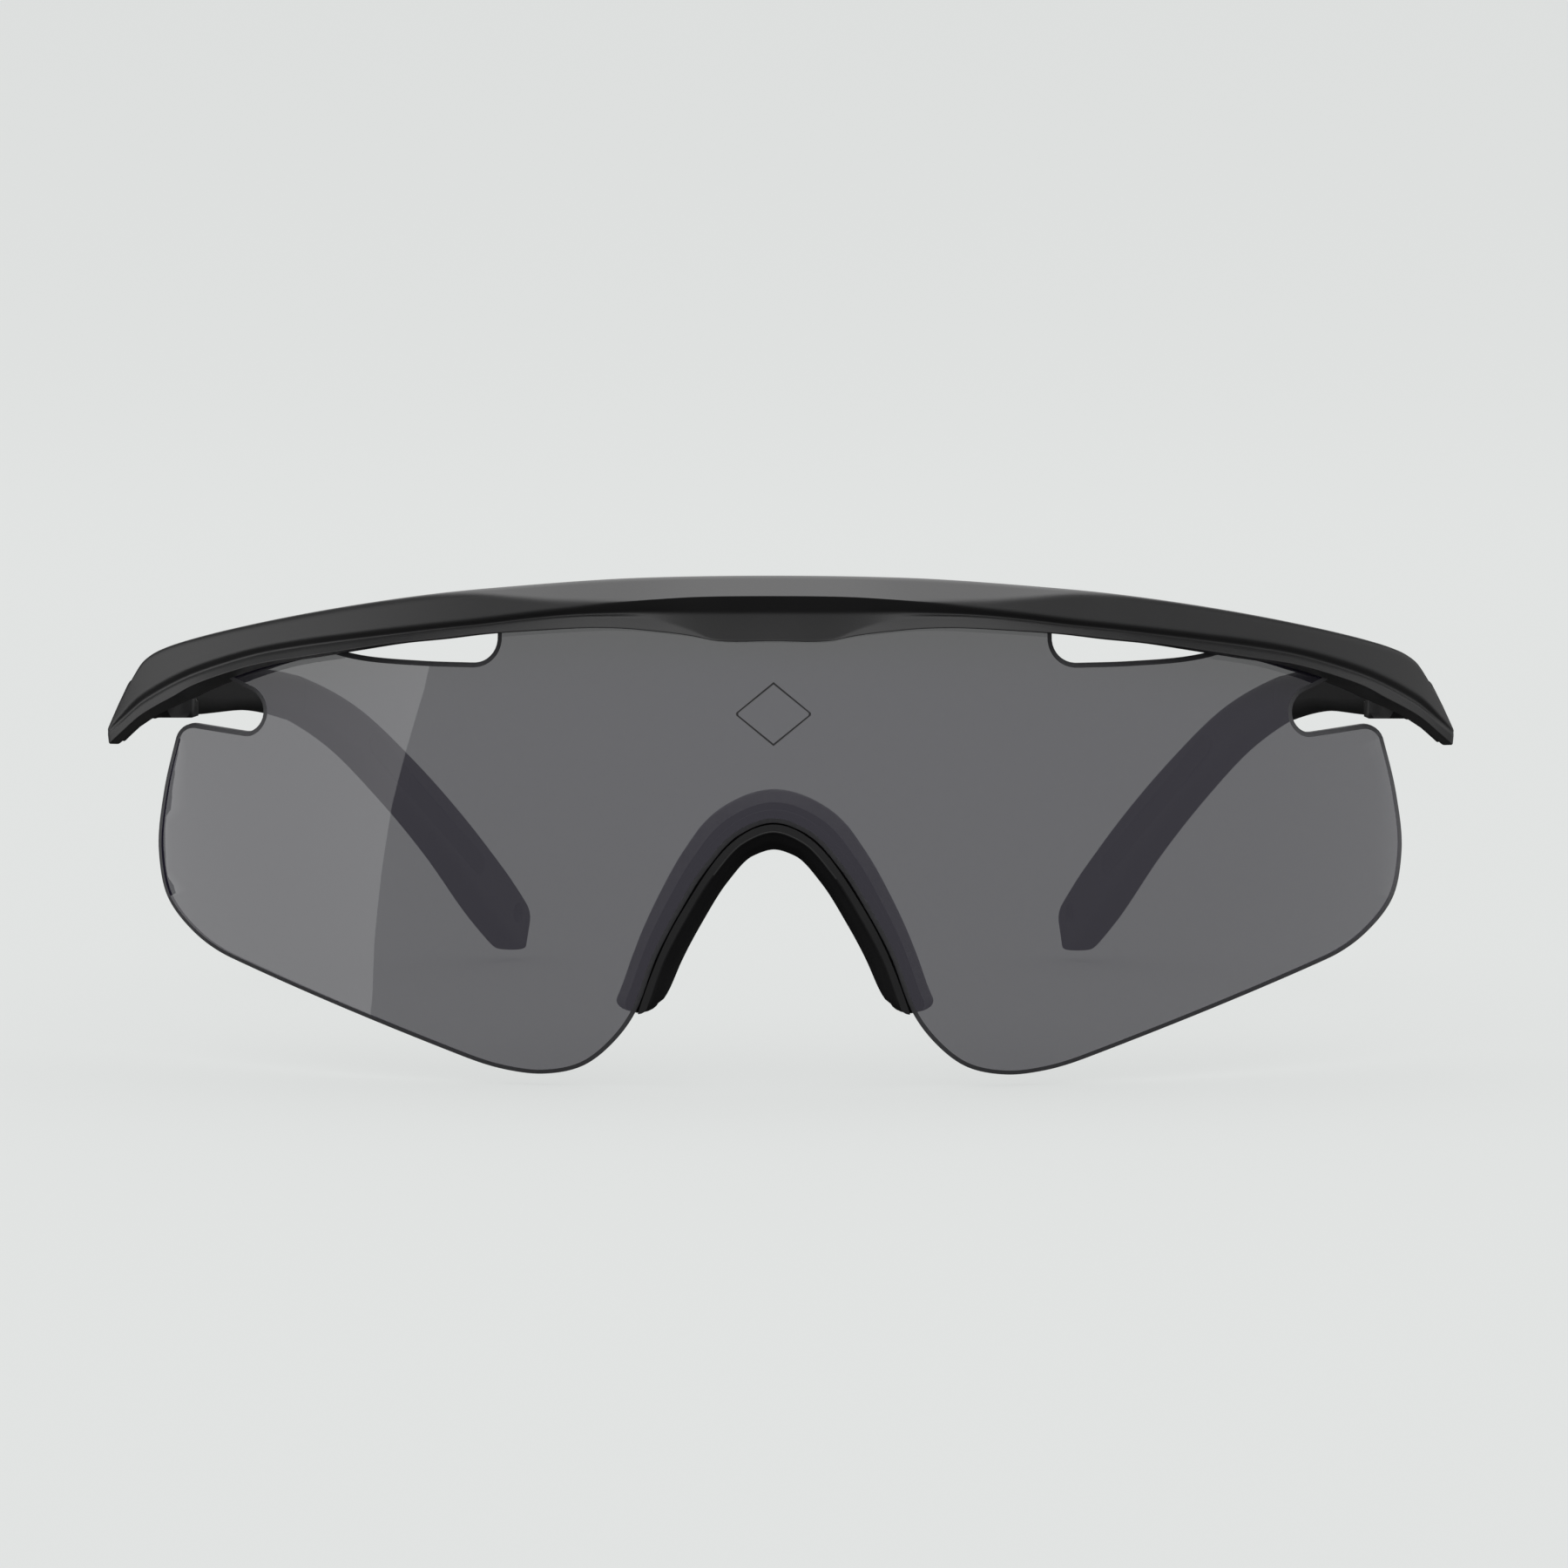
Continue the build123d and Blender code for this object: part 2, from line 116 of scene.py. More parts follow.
class StudioSettings(bpy.types.PropertyGroup):
    """Floor, lights and camera."""
    floor: colour_of("Floor", "Colour of the pale floor and backdrop", (0.683, 0.697, 0.690))
    shade: share_of("Shadow share", "Share of the floor's light that a shadow can take", 0.12)
    sky: number_of("Overhead light", "Brightness of the soft box overhead", 2.85)
    ahead: number_of("Level light", "Brightness of the room round the table", 0.54)
    below: number_of("Light from below", "Brightness of the dark table's underside", 0.07)
    card: number_of("Side card", "Brightness of the tall card at the left", 1.15)
    lens: number_of("Focal length", "Camera's focal length, in millimetres", 114.9)


# ---- curves and surfaces

DOUBLED = 1e-7  # two points of a line nearer than this are one


def unit(v):
    return v / np.linalg.norm(v)


def along(line):
    """Distance of each point of a line from its first."""
    return np.r_[0, np.cumsum(np.linalg.norm(np.diff(line, axis=0), axis=1))]


def hermite(t, length, a, b, slope_a, slope_b):
    """The cubic from a to b that has a given slope at each."""
    return ((2 * t**3 - 3 * t**2 + 1) * a + (t**3 - 2 * t**2 + t) * length * slope_a
            + (3 * t**2 - 2 * t**3) * b + (t**3 - t**2) * length * slope_b)


def rising(value, start, end):
    """0 up to the start, 1 from the end, and even between."""
    return min(1.0, max(0.0, (value - start) / (end - start)))


def domed(share, power):
    """Half width of a rounded end, by the share of its length that is behind."""
    return sqrt(max(0.0, 1 - (1 - min(1.0, share)) ** power))


def smooth(points, start=None, end=None, per=10):
    """A smooth line through a few points, as a dense array. start and end are its headings."""
    p = np.array(points, float)
    chord = np.linalg.norm(np.diff(p, axis=0), axis=1)
    slope = np.zeros_like(p)
    steps = np.diff(p, axis=0) / chord[:, None]
    weight = chord[:-1] / (chord[:-1] + chord[1:])
    slope[1:-1] = steps[:-1] * (1 - weight)[:, None] + steps[1:] * weight[:, None]
    slope[0] = steps[0] if start is None else unit(np.array(start))
    slope[-1] = steps[-1] if end is None else unit(np.array(end))
    line = []
    for i, length in enumerate(chord):
        t = np.linspace(0, 1, per, endpoint=False)[:, None]
        line.append(hermite(t, length, p[i], p[i + 1], slope[i], slope[i + 1]))
    return np.vstack(line + [p[-1:]])


def arc(a, b, c, count=10):
    """The arc from a through b to c."""
    a, b, c = (np.array(q, float) for q in (a, b, c))
    (ax, ay), (bx, by), (cx, cy) = a, b, c
    d = 2 * (ax * (by - cy) + bx * (cy - ay) + cx * (ay - by))
    ux = ((a @ a) * (by - cy) + (b @ b) * (cy - ay) + (c @ c) * (ay - by)) / d
    uy = ((a @ a) * (cx - bx) + (b @ b) * (ax - cx) + (c @ c) * (bx - ax)) / d
    centre = np.array([ux, uy])
    radius = np.linalg.norm(a - centre)
    first, middle, last = (np.arctan2(*(q - centre)[::-1]) for q in (a, b, c))
    sweep = (last - first) % (2 * pi)
    if (middle - first) % (2 * pi) > sweep:
        sweep -= 2 * pi
    turn = first + np.linspace(0, 1, count) * sweep
    return centre + radius * np.column_stack([np.cos(turn), np.sin(turn)])


def spaced(line, spacing, closed=False):
    """The same line with evenly spaced points."""
    if closed:
        line = np.vstack([line, line[:1]])
    reach = along(line)
    count = max(2, int(round(reach[-1] / spacing)) + 1)
    at = np.linspace(0, reach[-1], count)
    even = np.column_stack([np.interp(at, reach, line[:, k]) for k in range(line.shape[1])])
    return even[:-1] if closed else even


def joined(parts):
    """Lines end to end, with doubled joints dropped."""
    line = np.vstack(parts)
    keep = np.r_[True, np.linalg.norm(np.diff(line, axis=0), axis=1) > DOUBLED]
    return line[keep]


def outward(line, closed=True):
    """Unit normals on a line's left."""
    if closed:
        heading = np.roll(line, -1, axis=0) - np.roll(line, 1, axis=0)
    else:
        heading = np.gradient(line, axis=0)
    heading /= np.linalg.norm(heading, axis=1)[:, None]
    return np.column_stack([-heading[:, 1], heading[:, 0]])


def shield_y(x, z, depth, lens):
    """Y of the lens's curved layer at a depth behind its front."""
    drop = z - lens.crown_height
    radius = lens.wrap - lens.crown + np.sqrt((lens.crown - depth) ** 2 - drop**2)
    return APEX_Y + lens.wrap - np.sqrt(radius**2 - x**2)


def on_shield(flat, depth, lens):
    """Points of an upright outline, laid on a layer of the lens."""
    return np.column_stack([flat[:, 0], shield_y(flat[:, 0], flat[:, 1], depth, lens), flat[:, 1]])


# ---- meshes

WELD = 2e-6  # points nearer than this become one, in metres
SPECK = 1e-6  # edges shorter than this are dissolved
CUT_SHARP = 40  # degrees past which an edge of a cut piece is sharp


def raw_mesh(name, verts, faces):
    """A mesh as it is given."""
    mesh = bpy.data.meshes.new(name)
    mesh.from_pydata([tuple(v) for v in verts], [], [tuple(f) for f in faces])
    return mesh


def place_mesh(name, mesh):
    """A scene object for a mesh."""
    piece = bpy.data.objects.new(name, mesh)
    bpy.context.scene.collection.objects.link(piece)
    return piece


def opened(mesh):
    """A mesh's geometry, to edit."""
    work = bmesh.new()
    work.from_mesh(mesh)
    return work


def written(work, mesh):
    """The mesh, with the edited geometry in it."""
    work.to_mesh(mesh)
    work.free()
    return mesh


def shade_smooth(mesh, sharp):
    """Smooth shading, with sharp edges past an angle in degrees."""
    mesh.polygons.foreach_set("use_smooth", [True] * len(mesh.polygons))
    mesh.set_sharp_from_angle(angle=radians(sharp))


def make_piece(name, verts, faces, zones=None, sharp=32):
    """A welded mesh object. zones: the material of each face."""
    mesh = raw_mesh(name, verts, faces)
    if zones is not None:
        mesh.polygons.foreach_set("material_index", zones)
    work = opened(mesh)
    bmesh.ops.remove_doubles(work, verts=work.verts, dist=WELD)
    bmesh.ops.dissolve_degenerate(work, edges=work.edges, dist=SPECK)
    bmesh.ops.recalc_face_normals(work, faces=work.faces)
    shade_smooth(written(work, mesh), sharp)
    return place_mesh(name, mesh)


def band(low, high, count):
    """Faces between two rings, by the number of each ring's first point."""
    pairs = [(i, (i + 1) % count) for i in range(count)]
    return [(low + i, low + j, high + j, high + i) for i, j in pairs]


def skin(rings, cap=True):
    """Faces between closed rings of the same number of points, with flat caps."""
    count = len(rings[0])
    verts = np.vstack(rings)
    faces = []
    for r in range(len(rings) - 1):
        faces += band(r * count, (r + 1) * count, count)
    if cap:
        faces.append(tuple(range(count)))
        last = (len(rings) - 1) * count
        faces.append(tuple(last + i for i in reversed(range(count))))
    return verts, faces


def settle(piece, body, slot, materials, *nodes):
    """Gives a piece its materials and its body, and hides the CAD nodes that it stands for. slot:
    not used.
    """
    for material in materials:
        piece.data.materials.append(material)
    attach(piece, body)
    if nodes:
        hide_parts(*nodes)


# ---- materials

class Value:
    """A shader socket that arithmetic can be written with."""

    def __init__(self, nodes, socket):
        self.nodes = nodes
        self.socket = socket

    def maths(self, operation, *values):
        return self.nodes.add("ShaderNodeMath", {"operation": operation}, dict(enumerate(values)))

    def __add__(self, other):
        return self.maths("ADD", self, other)

    def __radd__(self, other):
        return self.maths("ADD", other, self)

    def __mul__(self, other):
        return self.maths("MULTIPLY", self, other)

    def __rmul__(self, other):
        return self.maths("MULTIPLY", other, self)


class Nodes:
    """The nodes of a material or of the world."""

    def __init__(self, owner):
        owner.use_nodes = True
        self.tree = owner.node_tree

    def add(self, kind, settings=None, sockets=None, output=0):
        """Any node: its settings first, then its sockets' values or links."""
        node = self.tree.nodes.new(kind)
        for name, value in (settings or {}).items():
            if name == "stops":
                set_stops(node.color_ramp.elements, value)
            else:
                setattr(node, name, value)
        for name, value in (sockets or {}).items():
            if isinstance(value, Value):
                self.tree.links.new(value.socket, node.inputs[name])
            else:
                node.inputs[name].default_value = value
        return Value(self, node.outputs[output])


def set_stops(ramp, stops):
    """Places and greys of a ramp's stops."""
    while len(ramp) < len(stops):
        ramp.new(0.5)
    for element, (place, grey) in zip(ramp, stops):
        element.position = place
        element.color = (grey, grey, grey, 1)


class Shade(Nodes):
    """One material: its Principled shader and the nodes that feed it."""

    def __init__(self, name, **uniform):
        self.material = bpy.data.materials.new(name)
        super().__init__(self.material)
        self.surface = self.tree.nodes["Principled BSDF"]
        for socket, value in uniform.items():
            self.surface.inputs[socket.replace("_", " ")].default_value = value

    def place(self):
        return self.add("ShaderNodeTexCoord", output="Object")

    def noise(self, scale, detail=3.0, rough=0.5):
        return self.add("ShaderNodeTexNoise", None, {
            "Vector": self.place(), "Scale": scale, "Detail": detail, "Roughness": rough})

    def blend(self, factor, low, high):
        """A colour between two."""
        return self.add("ShaderNodeMix", {"data_type": "RGBA"}, {
            "Factor": factor, 6: (*low, 1), 7: (*high, 1)}, output=2)

    def bump(self, height, distance, strength):
        return self.add("ShaderNodeBump", None, {
            "Height": height, "Distance": distance, "Strength": strength})

    def feed(self, **links):
        for socket, value in links.items():
            self.tree.links.new(value.socket, self.surface.inputs[socket.replace("_", " ")])
        return self.material


def scaled(colour, share):
    return tuple(c * share for c in colour)


def satin_nylon(name, colour, gloss, shine=0.5):
    """Black moulded nylon with a fine spark-eroded grain and faint handling marks."""
    shade = Shade(name, IOR=1.5, Specular_IOR_Level=shine)
    grain = shade.noise(scale=5200, detail=2, rough=0.6)
    cloud = shade.noise(scale=190, detail=4)
    tone = shade.blend(cloud, scaled(colour, 0.85), scaled(colour, 1.2))
    rough = gloss - 0.05 + cloud * 0.08 + grain * 0.04
    normal = shade.bump(grain, distance=0.000012, strength=0.5)
    return shade.feed(Base_Color=tone, Roughness=rough, Normal=normal)


def soft_rubber(name, colour, grain_size=0.00022):
    """Matt rubber with a fine leathery grain and a little dust."""
    shade = Shade(name, IOR=1.45, Specular_IOR_Level=0.12)
    pebble = shade.add("ShaderNodeTexVoronoi", None, {
        "Vector": shade.place(), "Scale": 1 / grain_size})
    cloud = shade.noise(scale=260, detail=4)
    tone = shade.blend(cloud, scaled(colour, 0.8), scaled(colour, 1.35))
    rough = 0.62 + cloud * 0.12
    normal = shade.bump(pebble, distance=0.000010, strength=0.4)
    return shade.feed(Base_Color=tone, Roughness=rough, Normal=normal)


def speckled(name, scale, detail, low, high, rough, span, **uniform):
    """A finish whose tone and roughness follow one noise."""
    shade = Shade(name, **uniform)
    noise = shade.noise(scale, detail)
    return shade.feed(Base_Color=shade.blend(noise, low, high), Roughness=rough + noise * span)


def smoke_glass(name, lens, density):
    """Polished, hard coated smoke polycarbonate: its dye stops a share of the light at a face."""
    return speckled(name, 60, 2, scaled(lens.tint, 0.97), scaled(lens.tint, 1.03), 0.012, 0.01,
                    IOR=1.52, Specular_IOR_Level=0.75, Alpha=density)


def ground_edge(name):
    """The lens's bevelled edge, where its dye looks nearly black."""
    return speckled(name, 2400, 2, (0.066, 0.066, 0.070), (0.096, 0.096, 0.102), 0.35, 0.1,
                    IOR=1.52, Specular_IOR_Level=0.1)


def natural_nylon(name):
    return speckled(name, 900, 3, (0.52, 0.51, 0.47), (0.64, 0.63, 0.6), 0.42, 0.1, IOR=1.53)


def printed_ink(name):
    return speckled(name, 9000, 2, (0.008, 0.008, 0.009), (0.016, 0.016, 0.017), 0.45, 0.15,
                    IOR=1.45)


def turned_metal(name, colour, roughness):
    """Small turned hardware with fine concentric tool marks."""
    shade = Shade(name, Metallic=1.0)
    marks = shade.noise(scale=3800, detail=3, rough=0.7)
    tone = shade.blend(marks, scaled(colour, 0.8), colour)
    rough = roughness - 0.06 + marks * 0.16
    normal = shade.bump(marks, distance=0.000006, strength=0.5)
    return shade.feed(Base_Color=tone, Roughness=rough, Normal=normal)


# ---- the shield lens

ARCH = [(0, 25.9), (3.4, 24.7), (6.7, 21.2), (9.4, 16.9), (11.8, 12.3), (13.6, 7.4)]
OUTLINE_STEP = 0.00045  # between the points of the outline, in metres
GRID_MARGIN = 0.35  # least distance of a grid point from the ring, by the spacing
BACK_BEVEL, SHOULDER, HEEL = 0.5, 0.7, 0.4  # back's width and both depths, by the front's width
MARK_MIDDLE = 0.0368  # height of the diamond's middle, in metres
MARK_STEP = 0.0004
MARK_PROUD, MARK_SUNK = 0.00002, 0.00001  # how far the ink stands off and reaches in
MARK_MITRE = 1.3  # the line's width at a corner, by its width


def shield_half():
    """Half of the lens's outline, from the top middle to the top of the arch, in millimetres."""
    return joined([
        smooth([(0, 47.2), (14, 47.2), (28, 46.6)], start=(1, 0), end=(1, -0.08)),
        smooth([(28, 46.6), (28, 44.3)]),
        arc((28, 44.3), (28.75, 42.45), (30.6, 41.7), 16),
        smooth([(30.6, 41.7), (36, 41.8), (44, 42.5), (48.6, 43.8)]),
        smooth([(48.6, 43.8), (53.5, 42.9), (58, 41.6)]),
        smooth([(58, 41.6), (58, 39.7)]),
        smooth([(58, 39.7), (55.2, 38.5)]),
        arc((55.2, 38.5), (53.4, 36.2), (55.2, 34.0), 24),
        smooth([(55.2, 34.0), (61.4, 34.6)]),
        arc((61.4, 34.6), (63.1, 34.1), (64.0, 32.6), 12),
        smooth([(64.0, 32.6), (65.5, 27.0), (66.2, 20.6), (65.2, 16.0), (62.0, 12.5), (57.5, 10.1)],
               start=(0.3, -1), end=(-1, -0.34)),
        smooth([(57.5, 10.1), (32, 1.5)]),
        smooth([(32, 1.5), (27.5, 0.3), (23.4, 0.0), (19.4, 0.95), (16.2, 3.5), (13.6, 7.4)],
               start=(-1, -0.34), end=(-0.42, 1)),
        smooth(ARCH[::-1], start=(-0.42, 1), end=(-1, 0)),
    ])


def shield_outline():
    """The whole outline, clockwise from the front, in metres."""
    half = shield_half()
    other = half[::-1][1:-1] * (-1, 1)
    return spaced(np.vstack([half, other]) * MM, OUTLINE_STEP, closed=True)


def fill(ring, spacing):
    """Triangles inside a closed flat ring, with an even grid of inner points."""
    low, high = ring.min(axis=0), ring.max(axis=0)
    xs = np.arange(low[0] + spacing / 2, high[0], spacing)
    zs = np.arange(low[1] + spacing / 2, high[1], spacing)
    grid = [(x, z) for x in xs for z in zs if inside(ring, x, z, spacing * GRID_MARGIN)]
    points = [Vector(p) for p in ring] + [Vector(p) for p in grid]
    edges = [(i, (i + 1) % len(ring)) for i in range(len(ring))]
    _, _, faces, origin, _, _ = delaunay_2d_cdt(points, edges, [], 1, 1e-9)
    flat = np.array([(p.x, p.y) for p in points])
    return flat, [tuple(origin[i][0] for i in face) for face in faces]


def inside(ring, x, z, margin):
    """Whether a point is inside a ring and at least a margin from it."""
    a, b = ring, np.roll(ring, -1, axis=0)
    crossing = (a[:, 1] > z) != (b[:, 1] > z)
    with np.errstate(divide="ignore", invalid="ignore"):
        cut = a[:, 0] + (z - a[:, 1]) * (b[:, 0] - a[:, 0]) / (b[:, 1] - a[:, 1])
    odd = np.count_nonzero(crossing & (cut > x)) % 2
    return bool(odd) and np.min(np.hypot(a[:, 0] - x, a[:, 1] - z)) > margin


def build_shield(lens):
    ring = shield_outline()
    normal = outward(ring)
    front_ring = ring - normal * lens.bevel
    back_ring = ring - normal * lens.bevel * BACK_BEVEL
    count = len(ring)
    front_flat, front_faces = fill(front_ring, lens.grid)
    back_flat, back_faces = fill(back_ring, lens.grid)
    front = on_shield(front_flat, 0, lens)
    back = on_shield(back_flat, lens.thickness, lens)
    shoulder = on_shield(ring, lens.bevel * SHOULDER, lens)
    heel = on_shield(ring, lens.thickness - lens.bevel * HEEL, lens)
    verts = np.vstack([front, back, shoulder, heel])
    b = len(front)
    s, h = b + len(back), b + len(back) + count
    faces = list(front_faces) + [tuple(b + i for i in reversed(face)) for face in back_faces]
    faces += band(0, s, count) + band(s, h, count) + band(h, b, count)
    zones = [0] * len(front_faces) + [2] * len(back_faces) + [1] * (3 * count)
    piece = make_piece("lens_shield_smoke", verts, faces, zones, sharp=20)
    glass = [smoke_glass("smoke_polycarbonate", lens, lens.density),
             ground_edge("lens_ground_edge"),
             smoke_glass("smoke_polycarbonate_back", lens, lens.back_density)]
    settle(piece, FRONT_BODY, "smoke_lens", glass, "lens_shield")


def build_mark(lens):
    """A plain diamond outline printed on the lens's front."""
    wide, tall, line = lens.mark_width / 2, lens.mark_height / 2, lens.mark_line
    shape = np.array([(0, 1), (1, 0), (0, -1), (-1, 0)], float)
    outer = spaced(shape * (wide, tall), MARK_STEP, closed=True)
    inner = outer * (1 - line / wide * MARK_MITRE, 1 - line / tall * MARK_MITRE)
    loops = ((outer, MARK_SUNK), (outer, -MARK_PROUD), (inner, -MARK_PROUD), (inner, MARK_SUNK))
    rings = [on_shield(flat + (0, MARK_MIDDLE), depth, lens) for flat, depth in loops]
    rings.append(rings[0])
    verts, faces = skin(rings, cap=False)
    piece = make_piece("lens_mark_diamond", verts, faces, sharp=60)
    settle(piece, FRONT_BODY, "smoke_lens", [printed_ink("mark_ink")])


# ---- the brow bar

OUTER = (26, 29.4, 33, 37, 41, 43.8, 45.7, 47.8, 50, 52.3, 54)  # angles of the outer stations
BAR_LINES = {
    # height of each of the bar's lines by the angle round the wrap
    "crest": [(0, 50.7), (6, 50.6), (10.6, 50.35), (16.5, 49.7), (22.7, 48.8), (29.4, 47.45),
              (37, 45.6), (43.8, 43.7), (46.5, 42.8), (48.2, 42.05), (49.4, 41.2), (50.4, 39.9),
              (52, 37.5)],
    "facet": [(0, 48.7), (5, 48.6), (7.7, 48.35), (9.5, 48.2), (13.5, 48.15), (16.5, 48.4),
              (19.6, 48.68), (22.7, 48.3), (29.4, 47.0), (37, 45.15), (43.8, 43.25), (46.5, 42.35),
              (48.2, 41.6), (49.4, 40.75), (50.4, 39.5), (52, 37.1)],
    "ridge": [(0, 48.65), (5, 48.55), (7.7, 48.3), (9.5, 48.05), (10.6, 47.9), (13.5, 47.35),
              (16.5, 46.8), (19.6, 46.2), (22.7, 45.7), *zip(OUTER, (45.15, 44.55, 43.9, 42.95,
              41.65, 40.55, 39.65, 38.55, 37.2, 35.2, 33.7))],
    "deep": [(0, 47.0), (7.7, 47.0), (10.6, 46.9), (13.5, 46.72), (16.5, 46.28), (19.6, 45.7),
             (22.7, 45.2), *zip(OUTER, (44.6, 43.98, 43.3, 42.4, 41.05, 39.95, 39.05, 37.92, 36.6,
             34.8, 33.45))],
    "lip": [(0, 44.3), (3.6, 44.3), (4.4, 44.55), (5, 45.0), (6, 45.55), (7, 46.0), (8.2, 46.35),
            (9.5, 46.52), (11.5, 46.55), (13.5, 46.4), (16.5, 45.95), (19.6, 45.38), (22.7, 44.88),
            *zip(OUTER, (44.23, 43.58, 42.88, 41.98, 40.63, 39.53, 38.63, 37.48, 36.18, 34.38,
            33.13))],
    "lower": [(0, 44.1), (3.8, 44.12), (5, 44.5), (6.2, 44.8), (7.7, 45.05), (9.5, 45.3),
              (11.5, 45.38), (13.5, 45.28), (16.5, 45.0), (19.6, 44.65), (22.7, 44.1),
              *zip(OUTER, (43.6, 42.85, 42.05, 41.2, 39.8, 38.6, 37.5, 36.4, 35.15, 33.45, 32.2))],
}
BAR_OUTS = {
    # how far each line stands in front of the lens's wrap, in millimetres
    "crest": [(0, 0.5), (8, 0.55), (13.5, 0.95), (17, 1.6), (20, 2.25), (24, 2.55), (40, 2.55),
              (50, 2.55), (54, 2.5)],
    "facet": [(0, 2.9), (10, 2.88), (16.5, 2.9), (22, 2.85), (26, 2.8), (40, 2.8), (54, 2.7)],
    "ridge": [(0, 2.95), (10, 2.97), (20, 3.0), (40, 3.0), (54, 2.8)],
    "deep": [(0, 1.5), (7, 1.65), (9.5, 1.85), (13.5, 2.15), (19, 2.3), (26, 2.38), (50, 2.38),
             (52.5, 2.55), (54, 2.72)],
    "lip": [(0, 1.48), (4.2, 1.5), (5, 1.6), (6, 1.72), (7, 1.85), (9.5, 2.15), (13.5, 2.4),
            (19, 2.52), (26, 2.6), (50, 2.62), (54, 2.7)],
    "lower": [(0, 1.5), (3.8, 1.52), (5, 1.75), (6.5, 2.1), (9.5, 2.5), (13.5, 2.75), (18, 2.82),
              (40, 2.85), (54, 2.45)],
}
# Angles are in degrees and the rest is in millimetres.
BAR_BACK, WING_BACK = 3.85, 1.55  # how far the bar and its wings reach behind the lens's wrap
WING, WING_END = (40, 46), (47, 55)  # angles between which the bar thins, twice
WING_FINING = 2.0
GROOVE_DEPTH, GROOVE_LEAST = 2.3, 0.02  # the second is a share of the first
GROOVE_END, GROOVE_FADE = 42.0, 1.5
LEAN_START, LEAN_END = 44.0, 58.0
END_ANGLE, END_HEIGHT, END_SLANT = 49.3, 41.9, 0.585  # a point of the slanted end, its slant
END_EASE, END_EASED = 54.0, 0.25  # past this angle, this share of the slant is left
END_GUESS, END_STEPS = 50.0, 40
END_TURNS, END_PUSH, END_LEAST = (22, 45, 67, 85), 0.6, 0.05  # the rounding at the ends
CORNER_LIMIT, HOLD_LIMIT = 0.4, 0.08  # most of a side that a corner and its hold take
LUG_REACH = 0.0052  # how far in front of its screw a lug is cut from the bar
LUG_HALF = 0.00215  # half of its width


def along_bar(row, angle):
    """A bar line's value at an angle, smooth between its stations."""
    stations = np.array([at for at, _ in row], float)
    values = np.array([value for _, value in row], float)
    step = np.diff(values) / np.diff(stations)
    slope = np.r_[0, (step[:-1] + step[1:]) / 2, step[-1]]
    flat = np.r_[False, step[:-1] * step[1:] <= 0, False]
    slope[flat] = 0
    if angle >= stations[-1]:
        return values[-1] + slope[-1] * (angle - stations[-1])
    i = min(int(np.searchsorted(stations, angle, side="right")) - 1, len(stations) - 2)
    width = stations[i + 1] - stations[i]
    t = (angle - stations[i]) / width
    return hermite(t, width, values[i], values[i + 1], slope[i], slope[i + 1])


def end_angle(height):
    """Angle of the bar's slanted end at a height in millimetres."""
    lean = END_ANGLE + (END_HEIGHT - height) * END_SLANT
    return min(lean, END_EASE + END_EASED * (lean - END_EASE))


def leaning(station, row, lift=0.0):
    """Angle and height of a bar line at a station. The last stations lean with the end."""
    if station <= LEAN_START:
        return station, along_bar(row, station) + lift
    end = END_GUESS
    for _ in range(END_STEPS):
        end = 0.5 * end + 0.5 * end_angle(along_bar(row, end) + lift)
    share = (station - LEAN_START) / (LEAN_END - LEAN_START)
    angle = LEAN_START + share * (end - LEAN_START)
    return angle, along_bar(row, angle) + lift


def bar_profile(station, lens):
    """Corners of the bar's section as (outward, height, angle), and the radius of each."""
    thin = rising(station, *WING)
    back = -BAR_BACK + thin * (BAR_BACK - WING_BACK) + rising(station, *WING_END) * WING_FINING
    depth = GROOVE_DEPTH * min(1.0, max(GROOVE_LEAST, (GROOVE_END - station) / GROOVE_FADE))
    low = leaning(station, BAR_LINES["lower"])[1]
    face = -((low + 1 - lens.crown_height / MM) ** 2) / (2 * lens.crown / MM)
    slot_front, slot_back = face + 0.08, face - lens.thickness / MM - 0.1
    if thin > 0:
        slot_back = max(slot_back, back + 0.3)
        slot_front = max(slot_front, slot_back + 0.3)

    def corner(out, line, lift, radius):
        angle, height = leaning(station, BAR_LINES[line], lift)
        if isinstance(out, str):
            out = along_bar(BAR_OUTS[out], angle)
        return (out, height, angle), radius

    return [
        corner(back, "lower", 0.35, 0.4),
        corner(back + 0.15, "crest", -1.5, 0.9),
        corner(-1.6 if thin < 0.5 else back + 0.9, "crest", -0.25, 0.8),
        corner("crest", "crest", 0, 0.5),
        corner("facet", "facet", 0, 0.35),
        corner("ridge", "ridge", 0, 0.3),
        corner("deep", "deep", 0, 0.25),
        corner("lip", "lip", 0, 0.14),
        corner("lower", "lower", 0.05, 0.12),
        corner(slot_front + 0.3, "lower", 0, 0.2),
        corner(slot_front, "lower", 0.15, 0.1),
        corner(slot_front, "lower", 0.25 + depth, 0.1),
        corner(slot_back, "lower", 0.25 + depth, 0.1),
        corner(slot_back, "lower", 0.25, 0.1),
    ]


